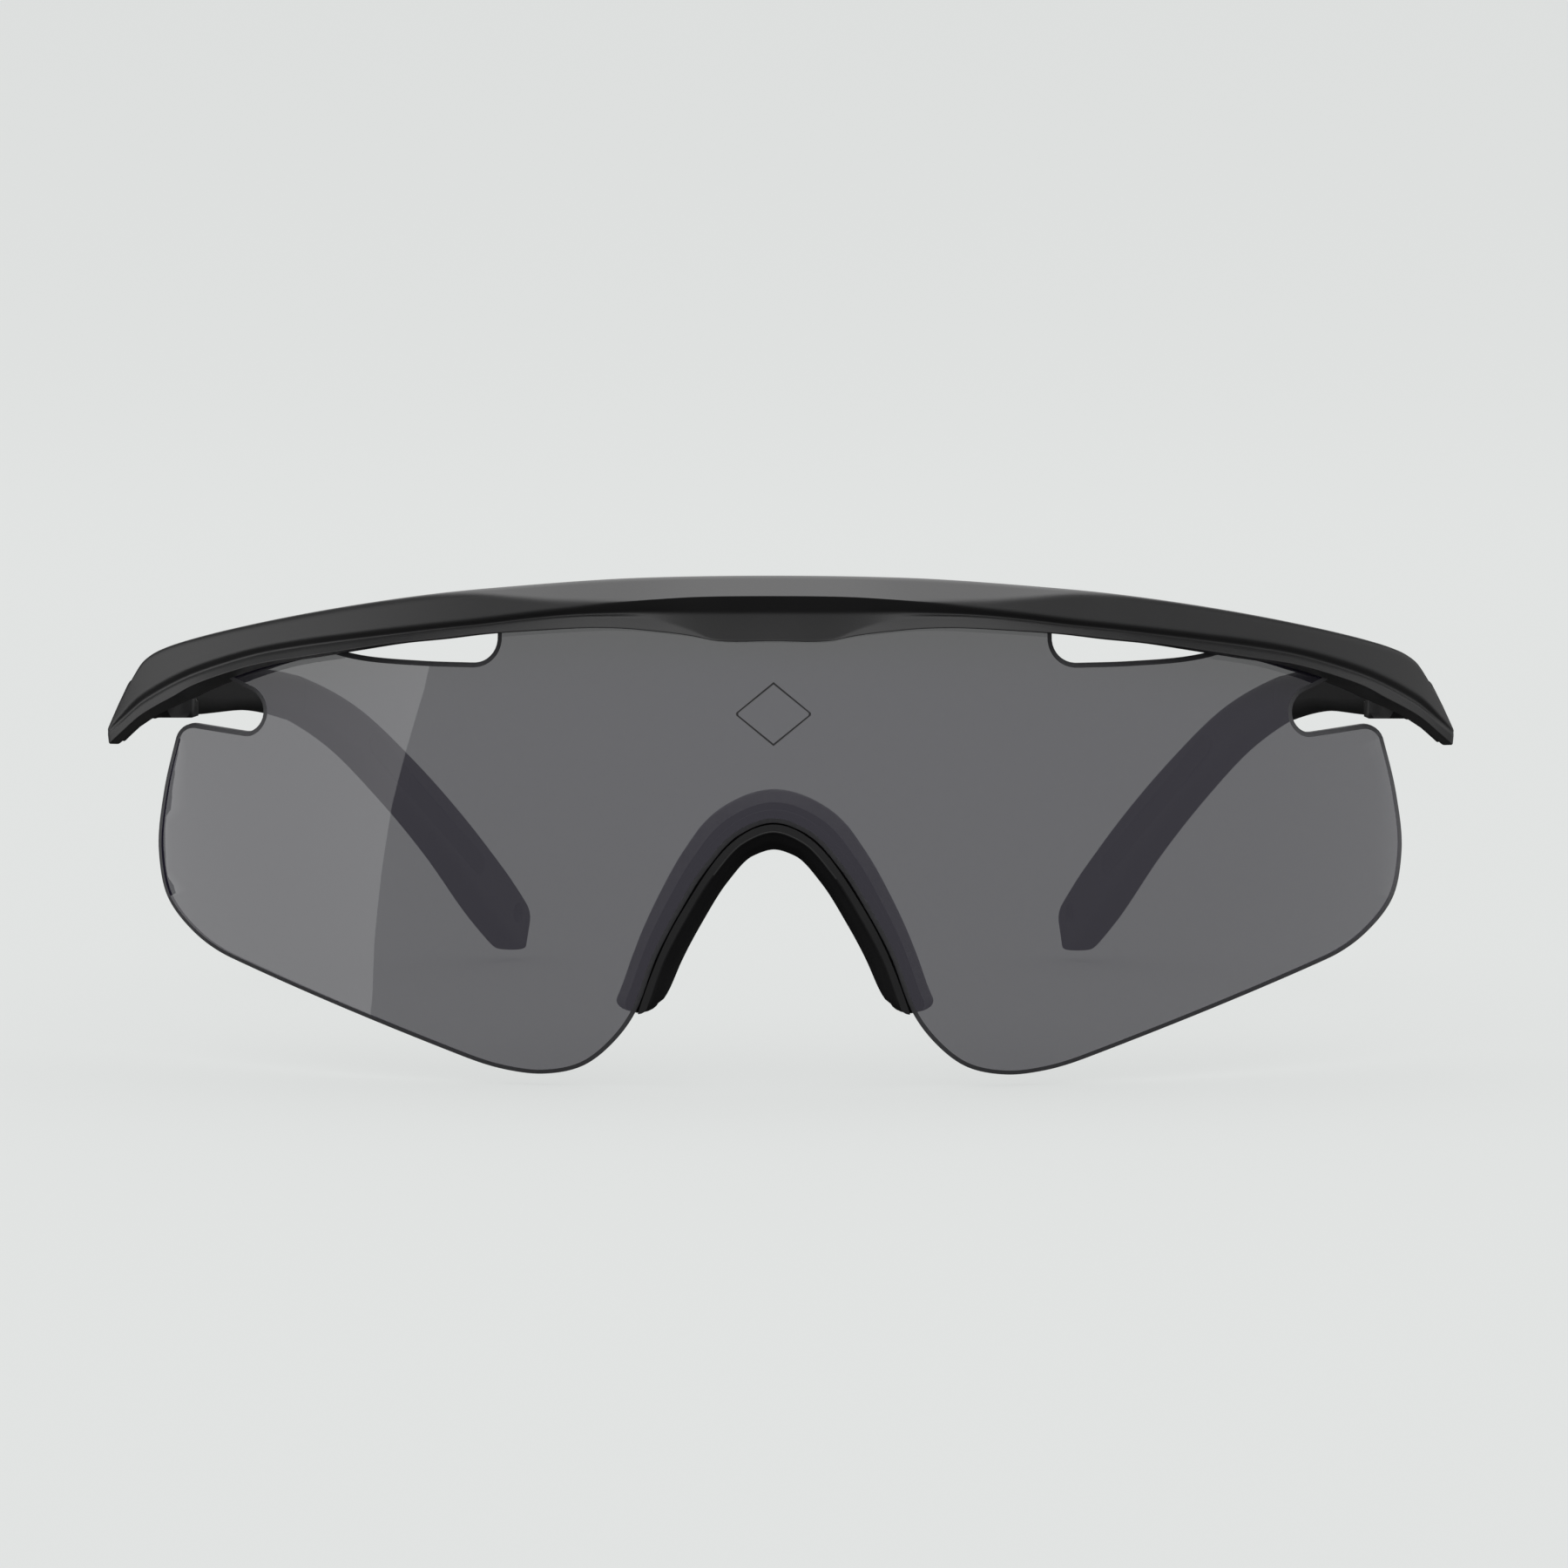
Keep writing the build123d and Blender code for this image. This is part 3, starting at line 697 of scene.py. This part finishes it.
def rounded_corners(corners, per=5, hold=0.14):
    """A closed polygon with every corner rounded, and a point to hold each flat beside it."""
    points = np.array([c[0] for c in corners], float)
    radii = [c[1] for c in corners]
    before, after = np.roll(points, 1, axis=0), np.roll(points, -1, axis=0)
    ring = []
    for p, a, b, r in zip(points, before, after, radii):
        to_a, to_b = a - p, b - p
        span_a = max(np.linalg.norm(to_a[:2]), 1e-9)
        span_b = max(np.linalg.norm(to_b[:2]), 1e-9)
        start = p + to_a * min(r / span_a, CORNER_LIMIT)
        end = p + to_b * min(r / span_b, CORNER_LIMIT)
        ring.append(start + to_a * min(hold / span_a, HOLD_LIMIT))
        for t in np.linspace(0, 1, per):
            ring.append((1 - t) ** 2 * start + 2 * t * (1 - t) * p + t**2 * end)
        ring.append(end + to_b * min(hold / span_b, HOLD_LIMIT))
    return np.array(ring)


def bar_ring(station, lens, shrink=0.0, push=0.0):
    """One section of the bar, on the +X side."""
    profile = rounded_corners(bar_profile(station, lens))
    if shrink:
        middle = profile.mean(axis=0)
        away = profile - middle
        size = np.hypot(away[:, 0], away[:, 1])[:, None]
        profile = middle + away * np.maximum(END_LEAST, 1 - shrink / np.maximum(size, 0.01))
    wrap = lens.wrap / MM
    turn = np.radians(profile[:, 2]) + push / wrap
    radius = (wrap + profile[:, 0]) * MM
    return np.column_stack([
        radius * np.sin(turn), APEX_Y + lens.wrap - radius * np.cos(turn), profile[:, 1] * MM])


def build_bar(bar, lens):
    stations = np.arange(0, LEAN_END + bar.step / 2, bar.step)
    right = [bar_ring(station, lens) for station in stations]
    round_mm = bar.end_round / MM
    for turn in END_TURNS:
        shrink = round_mm * (1 - cos(radians(turn)))
        right.append(bar_ring(LEAN_END, lens, shrink, round_mm * sin(radians(turn)) * END_PUSH))
    left = [ring * (-1, 1, 1) for ring in right[:0:-1]]
    verts, faces = skin(left + right)
    piece = make_piece("brow_bar_sculpted", verts, faces, sharp=50)
    add_lugs(piece)
    nylon = satin_nylon("bar_nylon", bar.colour, bar.gloss)
    settle(piece, FRONT_BODY, "bar_plastic", [nylon], "brow_bar")


def add_lugs(piece):
    """The slotted hinge lugs behind the bar's ends, cut and bored as the CAD ones are."""
    base = opened(piece.data)
    for sign in (1, -1):
        lug = cad_lug(sign)
        base.from_mesh(lug)
        bpy.data.meshes.remove(lug)
    shade_smooth(written(base, piece.data), CUT_SHARP)


def cad_lug(sign):
    """One lug, cut from the CAD bar with flat capped cuts."""
    work = opened(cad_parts["brow_bar"].data)
    bmesh.ops.remove_doubles(work, verts=work.verts, dist=SPECK)
    cuts = [((0, AXIS.y - LUG_REACH, 0), (0, -1, 0)),
            ((sign * (AXIS.x - LUG_HALF), 0, 0), (-sign, 0, 0)),
            ((sign * (AXIS.x + LUG_HALF), 0, 0), (sign, 0, 0))]
    for place, away in cuts:
        geometry = work.verts[:] + work.edges[:] + work.faces[:]
        bmesh.ops.bisect_plane(work, geom=geometry, dist=1e-7, plane_co=place, plane_no=away,
                               clear_outer=True)
        open_edges = [edge for edge in work.edges if edge.is_boundary]
        bmesh.ops.holes_fill(work, edges=open_edges, sides=0)
    bmesh.ops.triangulate(work, faces=[face for face in work.faces if len(face.verts) > 4])
    bmesh.ops.recalc_face_normals(work, faces=work.faces)
    return written(work, bpy.data.meshes.new("lug"))


# ---- the nose piece

PAD_PROFILE = [
    # (out from the arch, depth behind the lens's front) and corner radius, in millimetres
    ((-0.60, 1.6), 0.2),
    ((-0.60, 0.05), 0.15),
    ((-0.78, -0.30), 0.12),
    ((-0.98, -0.32), 0.12),
    ((-1.20, -0.05), 0.2),
    ((-2.25, 0.75), 0.8),
    ((-2.9, 2.4), 0.8),
    ((-2.9, 5.6), 1.2),
    ((-2.0, 7.35), 1.2),
    ((1.2, 7.35), 1.4),
    ((3.0, 6.3), 1.0),
    ((3.12, 5.0), 0.4),
    ((1.85, 3.75), 0.2),
    ((1.3, 3.35), 0.2),
    ((-0.75, 3.35), 0.1),
    ((-0.92, 3.0), 0.1),
    ((-0.92, 1.7), 0.1),
]
FLANGE_CORNERS = (10, 12)
BEAD_CORNERS = (2, 3)
BEAD_REACH = 9.0  # how far down each leg the bead goes
CORNER_POINTS = 7  # of the pad's section, with the two that hold the flats
PAD_INNER, PAD_INNER_RISE = 0.80, 0.20  # share of its inner thickness; what the top adds
PAD_INNER_REACH = 4.0  # how far from the top that fades
PAD_OUTER = [
    # share of its outer width
    (0, 1.0), (6, 1.0), (10, 0.92), (14, 0.86), (19, 0.76), (30, 0.78)]
FOOT_LENGTH = 5.0
FOOT_ROUNDING = 2.4  # power of the foot's outline: 2 is a circle
INNER_EDGE = -1.0  # past this the pad's section gets thinner towards a foot
SECTION_MIDDLE = np.array([0.3, 4.4])
LEVEL_REACH, LEVEL_SHARE = 1.6, 0.85  # where the sections start to turn level; how far
DOME_TURNS = (14, 28, 42, 56, 70, 84)
ARCH_STEP = 0.5


def arch_line():
    """The lens's arch from foot to foot, in metres."""
    half = smooth(ARCH, start=(1, 0), end=(0.42, -1), per=14)
    whole = np.vstack([half[::-1] * (-1, 1), half[1:]])
    return spaced(whole * MM, ARCH_STEP * MM)


def pad_ring(point, normal, heading, top, foot, rise, nose, lens):
    """One section of the pad. top and foot are its distances, in millimetres, from both."""
    profile = rounded_corners(PAD_PROFILE, per=CORNER_POINTS - 2)
    inner = profile[:, 0] < INNER_EDGE
    thin = PAD_INNER + PAD_INNER_RISE * exp(-((top / PAD_INNER_REACH) ** 2))
    outer = profile[:, 0] > 0
    profile[outer, 0] *= np.interp(top, *zip(*PAD_OUTER))
    toe = domed(foot / FOOT_LENGTH, FOOT_ROUNDING)
    reach = profile[inner, 0] - INNER_EDGE
    profile[inner, 0] = INNER_EDGE + reach * thin * (0.5 + 0.5 * toe)
    profile = SECTION_MIDDLE + (profile - SECTION_MIDDLE) * sqrt(1 - rise**2)
    near = max(0.0, 1 - foot / (LEVEL_REACH * FOOT_LENGTH))
    level = LEVEL_SHARE * near**2 * (3 - 2 * near)
    ring = []
    for out, depth in profile:
        slide = level * -normal[1] * out / heading[1]
        x, z = point + normal * out * MM + heading * (slide * MM + rise * nose.dome)
        ring.append((x, shield_y(x, z, depth * MM, lens), z))
    return np.array(ring)


def build_pad(nose, lens):
    line = arch_line()
    reach = along(line) / MM
    rings = []
    domes = np.sin(np.radians(DOME_TURNS))
    for i, (point, normal) in enumerate(zip(line, outward(line, closed=False))):
        step = line[i] - line[i - 1] if i else line[1] - line[0]
        heading = unit(step if reach[i] >= reach[-1] / 2 else -step)
        top = abs(reach[i] - reach[-1] / 2)
        foot = min(reach[i], reach[-1] - reach[i])
        rises = [0.0]
        if i == 0:
            rises = [*domes[::-1], 0.0]
        elif i == len(line) - 1:
            rises = [0.0, *domes]
        for rise in rises:
            rings.append(pad_ring(point, normal, heading, top, foot, rise, nose, lens))
    verts, faces = skin(rings)
    strip = strip_materials(len(rings[0]))
    zones = []
    for i in range(len(rings) - 1):
        beaded = abs(i + 0.5 - len(rings) / 2) * ARCH_STEP < BEAD_REACH
        zones += [0 if z == 2 and not beaded else z for z in strip]
    piece = make_piece("nose_pad_saddle", verts, faces, zones + [0, 0], sharp=60)
    rubbers = [soft_rubber("pad_rubber_black", nose.colour),
               soft_rubber("pad_flange_smoke", nose.flange, 0.0003),
               satin_nylon("pad_bead", nose.colour, 0.25)]
    settle(piece, FRONT_BODY, "pad_rubber", rubbers, "nose_pad")


def strip_materials(count):
    """Material of each strip of faces round the pad's section."""
    strip = [0] * count
    half = CORNER_POINTS // 2
    for slot, (first, last) in ((1, FLANGE_CORNERS), (2, BEAD_CORNERS)):
        start, end = first * CORNER_POINTS + half, last * CORNER_POINTS + half
        strip[start:end] = [slot] * (end - start)
    return strip


# ---- the temples' hooks

HOOK_STATIONS = [
    # centre (x, y, z) behind the lens's front, thickness and height, in millimetres
    (63.9, 66.0, 36.9, 3.8, 5.5),
    (61.9, 84.0, 35.9, 3.6, 5.0),
    (58.9, 98.0, 34.2, 3.6, 5.4),
    (54.4, 109.0, 30.2, 3.8, 6.2),
    (49.2, 119.5, 23.5, 4.0, 6.8),
    (43.9, 130.0, 15.5, 4.2, 7.4),
    (39.6, 138.6, 8.0, 4.4, 8.0),
    (37.5, 142.8, 4.4, 4.3, 8.0),
    (35.5, 146.75, 1.15, 4.2, 7.9),
]
HOOK_SKIP = 3  # before the tip, one section in so many is kept
JOINT_POINT = np.array((59.5, 96.0, 34.5))
JOINT_HEADING = np.array((-0.22, 1.0, -0.17))
JOINT_LAP = 0.2  # how far the hook reaches into the arm
GRIP_START = np.array((53.0, 111.8, 28.9))
GRIP_END = np.array((41.3, 135.3, 11.2))
GRIP_WIDTH = 2.66
GRIP_FLOOR = 0.97  # distance of the grip's floor from the middle of the hook
CORD_HOLE = np.array((37.4, 143.0, 4.9))
CORD_RADIUS = 1.3
CUT_REACH = (6.0, 10.0)  # how far the cutters of the grip and of the hole reach
SECTION_ROUNDING = 0.42  # radius of the hook's edges, by its thickness
TIP_DOME = 3.7
TIP_LEAST = 0.004  # where the tip's last section is, by the dome's length
TIP_ROUNDING = 2.5  # power of the tip's outline: 2 is a circle
TIP_SHEAR = 0.2  # how far the tip's lower edge leans inwards, by its height
TIP_BULB = 12.0  # length over which that grows
TIP_SOFTNESS = 1.5  # how gently the tip flattens where it meets the floor
TIP_SINK = 0.5  # how far it is let down to meet the floor


def rounded_section(thickness, height, per=9):
    """A rounded rectangle, as (across, up) points."""
    r = SECTION_ROUNDING * thickness
    a, b = thickness / 2 - r, height / 2 - r
    ring = []
    for corner, (x, z) in enumerate(((a, b), (-a, b), (-a, -b), (a, -b))):
        for t in np.linspace(0, 90, per):
            turn = radians(corner * 90 + t)
            ring.append((x + r * cos(turn), z + r * sin(turn)))
    return np.array(ring)


def flattened(ring):
    """The same points, with those near the floor bent level."""
    z = ring[:, 2]
    sink = TIP_SINK * TIP_SOFTNESS**2 / (TIP_SOFTNESS**2 + z**2)
    ring[:, 2] = (z + np.hypot(z, TIP_SOFTNESS)) / 2 - sink
    return ring


def hook_rings():
    """Sections of the hook and its rounded tip, on the +X side."""
    line = smooth(HOOK_STATIONS, start=(-0.11, 1, -0.05, 0, 0), end=(-0.5, 1, -0.83, 0, 0), per=40)
    heading = np.gradient(line[:, :3], axis=0)
    reach = along(line[:, :3])
    left = reach[-1] - reach
    rings = []
    for i, station in enumerate(line):
        if (station[:3] - JOINT_POINT) @ JOINT_HEADING < -JOINT_LAP:
            continue
        if left[i] < TIP_DOME * TIP_LEAST or (left[i] > TIP_DOME and i % HOOK_SKIP):
            continue
        size = domed(left[i] / TIP_DOME, TIP_ROUNDING)
        ahead = unit(heading[i])
        across = unit(np.array((ahead[1], -ahead[0], 0)))
        up = np.cross(across, ahead)
        section = rounded_section(station[3] * size, station[4] * size)
        ring = station[:3] + section[:, :1] * across + section[:, 1:] * up
        ring[:, 0] += TIP_SHEAR * section[:, 1] * max(0.0, 1 - left[i] / TIP_BULB) ** 2
        rings.append(flattened(ring))
    return rings


def to_row(points, sign):
    """Millimetres behind the lens's front, as metres in the shared frame."""
    return np.array(points) * MM * (sign, 1, 1) + (0, APEX_Y, 0)


def carve(piece, sign, outline, centre, start, end):
    """Cuts a prism out of a hook's inner face. Its outline lies along the grip."""
    run = GRIP_END - GRIP_START
    inward = unit(np.array((-run[1], run[0], 0)))
    flat = centre + outline[:, :1] * unit(run) + outline[:, 1:] * np.cross(inward, unit(run))
    verts, faces = skin([flat + inward * start, flat + inward * end])
    cutter = make_piece("cutter", to_row(verts, sign), faces)
    cut = piece.modifiers.new("cut", "BOOLEAN")
    cut.operation = "DIFFERENCE"
    cut.solver = "EXACT"
    cut.object = cutter
    bpy.context.view_layer.update()
    cut_piece = piece.evaluated_get(bpy.context.evaluated_depsgraph_get())
    result = bpy.data.meshes.new_from_object(cut_piece)
    piece.modifiers.clear()
    piece.data = result
    bpy.data.objects.remove(cutter)


def circle(first, last, count, closed=True):
    """Points of an arc round the origin, between two angles in degrees."""
    turn = np.radians(np.linspace(first, last, count, endpoint=closed))
    return np.column_stack([np.cos(turn), np.sin(turn)])


def build_hook(side, material):
    sign = 1 if side == "left" else -1
    verts, faces = skin(hook_rings())
    piece = make_piece(f"temple_hook_sleeve_{side}", to_row(verts, sign), faces, sharp=60)
    half = (np.linalg.norm(GRIP_END - GRIP_START) - GRIP_WIDTH) / 2
    right = GRIP_WIDTH / 2 * circle(-90, 90, 16) + (half, 0)
    grip_cut, hole_cut = CUT_REACH
    middle = (GRIP_START + GRIP_END) / 2
    carve(piece, sign, np.vstack([right, -right]), middle, GRIP_FLOOR, grip_cut)
    hole = CORD_RADIUS * circle(0, 360, 40, closed=False)
    carve(piece, sign, hole, CORD_HOLE, -hole_cut, hole_cut)
    shade_smooth(piece.data, CUT_SHARP)
    piece.data.materials.clear()
    settle(piece, f"temple_{side}", "temple_plastic", [material],
           f"temple_hook_{side}", f"temple_tip_{side}")


# ---- the stage

FLOOR_LINE = [(0.0, 0.0), (1.5, 0.0), (1.95, 0.09), (2.2, 0.4), (2.25, 0.9), (2.25, 2.4)]
FLOOR_TURNS = 96
FLOOR_WELD = 1e-5
BACKDROP_LIFT, BACKDROP_TOP = 0.043, 0.5  # how much lighter it gets, by which height
CARD_X = -0.42
CARD_OUTLINE = [
    # (y, z) corners, down the near side first
    (-0.36, 0.16), (-0.356, 0.072), (-0.332, 0.048), (-0.309, 0.023), (-0.286, -0.0035),
    (-0.266, -0.036), (-0.248, -0.069), (-0.2336, -0.105), (-0.224, -0.16), (0.13, -0.16),
    (0.13, 0.16)]
CARD_FADE = (-0.35, 0.02)  # y between which its light fades
CARD_NEAR = 1.55  # its light at the near end, by that at the far end
FLAGS = {
    # two opposite corners of each black flag, in metres
    "rear_flag": ((-0.5, 0.5, -0.3), (0.5, 0.5, 0.22)),
    "left_flag": ((-0.43, -0.5, 0.165), (-0.43, 0.5, 0.62)),
    "left_low_flag": ((-0.425, 0.135, -0.3), (-0.425, 0.5, 0.165)),
    "right_flag": ((0.43, -0.5, 0.2), (0.43, 0.5, 0.62)),
}
CAMERA_PLACE = (0.009155, APEX_Y - 0.5, 0.05874)
CAMERA_YAW, CAMERA_PITCH = 0.0162, 0.0578  # in radians
SENSOR_WIDTH = 36


def stage_piece(name, mesh, material, *hidden):
    """Puts up one object of the studio. hidden: the kinds of ray that pass through it."""
    piece = place_mesh(name, mesh)
    mesh.materials.append(material)
    for ray in hidden:
        setattr(piece, f"visible_{ray}", False)


def build_floor(studio):
    """A pale round floor that sweeps up into the backdrop on every side."""
    line = smooth(FLOOR_LINE, start=(1, 0), end=(0, 1), per=8)
    count = len(line)
    verts, faces = [], []
    for i, turn in enumerate(np.linspace(0, 2 * pi, FLOOR_TURNS, endpoint=False)):
        verts += [(r * cos(turn), r * sin(turn), z) for r, z in line]
        a, b = i * count, (i + 1) % FLOOR_TURNS * count
        faces += [(a + j, b + j, b + j + 1, a + j + 1) for j in range(count - 1)]
    work = opened(raw_mesh("pale_floor", verts, faces))
    bmesh.ops.remove_doubles(work, verts=work.verts, dist=FLOOR_WELD)
    mesh = written(work, bpy.data.meshes["pale_floor"])
    mesh.polygons.foreach_set("use_smooth", [True] * len(mesh.polygons))
    shade = Shade("pale_floor_paper", Roughness=1.0, Emission_Strength=1.0,
                  Specular_IOR_Level=0.0, Base_Color=(*scaled(studio.floor, studio.shade), 1))
    height = shade.add("ShaderNodeSeparateXYZ", None, {"Vector": shade.place()}, output="Z")
    rise = shade.add("ShaderNodeMapRange", None, {
        "Value": height, "From Min": 0.0, "From Max": BACKDROP_TOP})
    level = 1 - studio.shade
    glow = shade.blend(rise, scaled(studio.floor, level),
                       scaled(studio.floor, level + BACKDROP_LIFT))
    stage_piece("pale_floor", mesh, shade.feed(Emission_Color=glow), "glossy", "diffuse", "shadow")


def build_room(studio):
    """Soft light from overhead that falls off to a dark table below."""
    world = bpy.data.worlds.new("studio")
    bpy.context.scene.world = world
    room = Nodes(world)
    place = room.add("ShaderNodeTexCoord", output="Generated")
    height = room.add("ShaderNodeSeparateXYZ", None, {"Vector": place}, output="Z")
    rise = room.add("ShaderNodeMapRange", None, {"Value": height, "From Min": -1.0})
    below, ahead, top = studio.below, studio.ahead, studio.sky
    lights = [(0.0, below), (0.22, below), (0.36, ahead * 0.95), (0.50, ahead),
              (0.60, ahead * 1.05), (0.80, top * 0.6), (1.0, top)]
    stops = [(share, light / top) for share, light in lights]
    ramp = room.add("ShaderNodeValToRGB", {"stops": stops}, {"Fac": rise})
    background = room.tree.nodes["Background"]
    room.tree.links.new(ramp.socket, background.inputs["Color"])
    background.inputs["Strength"].default_value = top


def build_card(studio):
    """A tall bright card at the left, which the lens reflects along its left side."""
    shade = Shade("side_card_glow", Emission_Strength=studio.card, Base_Color=(0, 0, 0, 1))
    y = shade.add("ShaderNodeSeparateXYZ", None, {"Vector": shade.place()}, output="Y")
    near, far = CARD_FADE
    fade = shade.add("ShaderNodeMapRange", None, {"Value": y, "From Min": near, "From Max": far})
    glow = shade.blend(fade, (CARD_NEAR,) * 3, (1.0,) * 3)
    mesh = raw_mesh("side_card", [(CARD_X, y, z) for y, z in CARD_OUTLINE],
                    [range(len(CARD_OUTLINE))])
    stage_piece("side_card", mesh, shade.feed(Emission_Color=glow), "camera", "diffuse", "shadow")


def build_flags():
    """Black flags behind and beside the glasses, which keep glare off the dark plastic."""
    shade = Shade("flag_cloth", Roughness=1.0, Specular_IOR_Level=0.0,
                  Base_Color=(0.003, 0.003, 0.003, 1))
    for name, ((ax, ay, az), (bx, by, bz)) in FLAGS.items():
        corners = [(ax, ay, az), (bx, by, az), (bx, by, bz), (ax, ay, bz)]
        mesh = raw_mesh(name, corners, [(0, 1, 2, 3)])
        stage_piece(name, mesh, shade.material, "camera", "diffuse", "transmission", "shadow")


def build_camera(studio):
    data = bpy.data.cameras.new("front_camera")
    data.lens = studio.lens
    data.sensor_width = SENSOR_WIDTH
    data.clip_start = 0.01
    camera = bpy.data.objects.new("front_camera", data)
    yaw, pitch = CAMERA_YAW, CAMERA_PITCH
    ahead = Vector((-sin(yaw) * cos(pitch), cos(yaw) * cos(pitch), -sin(pitch)))
    across = Vector((cos(yaw), sin(yaw), 0))
    turn = Matrix((across, across.cross(ahead), -ahead)).transposed().to_4x4()
    camera.matrix_world = Matrix.Translation(CAMERA_PLACE) @ turn
    bpy.context.scene.collection.objects.link(camera)
    bpy.context.scene.camera = camera
    bpy.context.scene.view_settings.view_transform = "Standard"


# ---- operators

def paint(node, material):
    """Gives a CAD piece its finish."""
    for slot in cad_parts[node].material_slots:
        slot.material = material


class SHADES_OT_shield(bpy.types.Operator):
    """Builds the smoke shield lens and its printed mark"""
    bl_idname = "shades.shield"
    bl_label = "Shield Lens"

    def execute(self, context):
        lens = context.scene.shades_lens
        build_shield(lens)
        build_mark(lens)
        return {"FINISHED"}


class SHADES_OT_bar(bpy.types.Operator):
    """Builds the sculpted brow bar with its hinge lugs"""
    bl_idname = "shades.bar"
    bl_label = "Brow Bar"

    def execute(self, context):
        build_bar(context.scene.shades_bar, context.scene.shades_lens)
        return {"FINISHED"}


class SHADES_OT_nose(bpy.types.Operator):
    """Builds the rubber nose saddle and finishes its clip and its core strip"""
    bl_idname = "shades.nose"
    bl_label = "Nose Piece"

    def execute(self, context):
        build_pad(context.scene.shades_nose, context.scene.shades_lens)
        bar = context.scene.shades_bar
        paint("nose_carrier", satin_nylon("carrier_nylon", bar.colour, 0.5, 0.15))
        paint("nose_core_strip", turned_metal("core_strip_steel", (0.6, 0.6, 0.62), 0.3))
        return {"FINISHED"}


class SHADES_OT_temples(bpy.types.Operator):
    """Builds the hooks and finishes the arms, the grips and the wire cores"""
    bl_idname = "shades.temples"
    bl_label = "Temples"

    def execute(self, context):
        bar = context.scene.shades_bar
        nylon = satin_nylon("temple_nylon", bar.colour, bar.gloss + 0.08, 0.25)
        rubber = soft_rubber("grip_rubber_black", context.scene.shades_nose.colour)
        steel = turned_metal("core_wire_steel", (0.6, 0.6, 0.62), 0.3)
        for side in SIDES:
            paint(f"temple_arm_{side}", nylon)
            build_hook(side, nylon)
            paint(f"temple_grip_{side}", rubber)
            paint(f"temple_core_wire_{side}", steel)
        return {"FINISHED"}


class SHADES_OT_hinges(bpy.types.Operator):
    """Finishes the hinges' screws, sleeves, inserts and washers"""
    bl_idname = "shades.hinges"
    bl_label = "Hinges"

    def execute(self, context):
        steel = turned_metal("hinge_stainless", (0.62, 0.62, 0.64), 0.28)
        brass = turned_metal("hinge_brass_turned", (0.78, 0.60, 0.30), 0.3)
        nylon = natural_nylon("washer_nylon_natural")
        for side in SIDES:
            for part, finish in (("screw", steel), ("spring_washer", steel), ("sleeve", brass),
                                 ("threaded_insert", brass), ("slip_washers", nylon)):
                paint(f"hinge_{part}_{side}", finish)
        return {"FINISHED"}


class SHADES_OT_stage(bpy.types.Operator):
    """Builds the floor, the lights and the camera"""
    bl_idname = "shades.stage"
    bl_label = "Stage"

    def execute(self, context):
        studio = context.scene.shades_studio
        build_floor(studio)
        build_room(studio)
        build_card(studio)
        build_flags()
        build_camera(studio)
        return {"FINISHED"}


OPERATORS = (
    SHADES_OT_shield, SHADES_OT_bar, SHADES_OT_nose, SHADES_OT_temples, SHADES_OT_hinges,
    SHADES_OT_stage,
)


class SHADES_PT_panel(bpy.types.Panel):
    """Lists the sunglasses' pieces"""
    bl_idname = "SHADES_PT_panel"
    bl_label = "Sunglasses"
    bl_space_type = "VIEW_3D"
    bl_region_type = "UI"
    bl_category = "Sunglasses"

    def draw(self, context):
        for operator in OPERATORS:
            self.layout.operator(operator.bl_idname)


GROUPS = {
    "shades_lens": ShieldSettings,
    "shades_bar": BarSettings,
    "shades_nose": NoseSettings,
    "shades_studio": StudioSettings,
}


def register():
    for name, group in GROUPS.items():
        bpy.utils.register_class(group)
        setattr(bpy.types.Scene, name, bpy.props.PointerProperty(type=group))
    for operator in OPERATORS:
        bpy.utils.register_class(operator)
    bpy.utils.register_class(SHADES_PT_panel)


def unregister():
    bpy.utils.unregister_class(SHADES_PT_panel)
    for operator in reversed(OPERATORS):
        bpy.utils.unregister_class(operator)
    for name, group in reversed(GROUPS.items()):
        delattr(bpy.types.Scene, name)
        bpy.utils.unregister_class(group)


def main():
    register()
    bpy.ops.shades.shield()
    bpy.ops.shades.bar()
    bpy.ops.shades.nose()
    bpy.ops.shades.temples()
    bpy.ops.shades.hinges()
    bpy.ops.shades.stage()


if __name__ == "__main__":
    main()
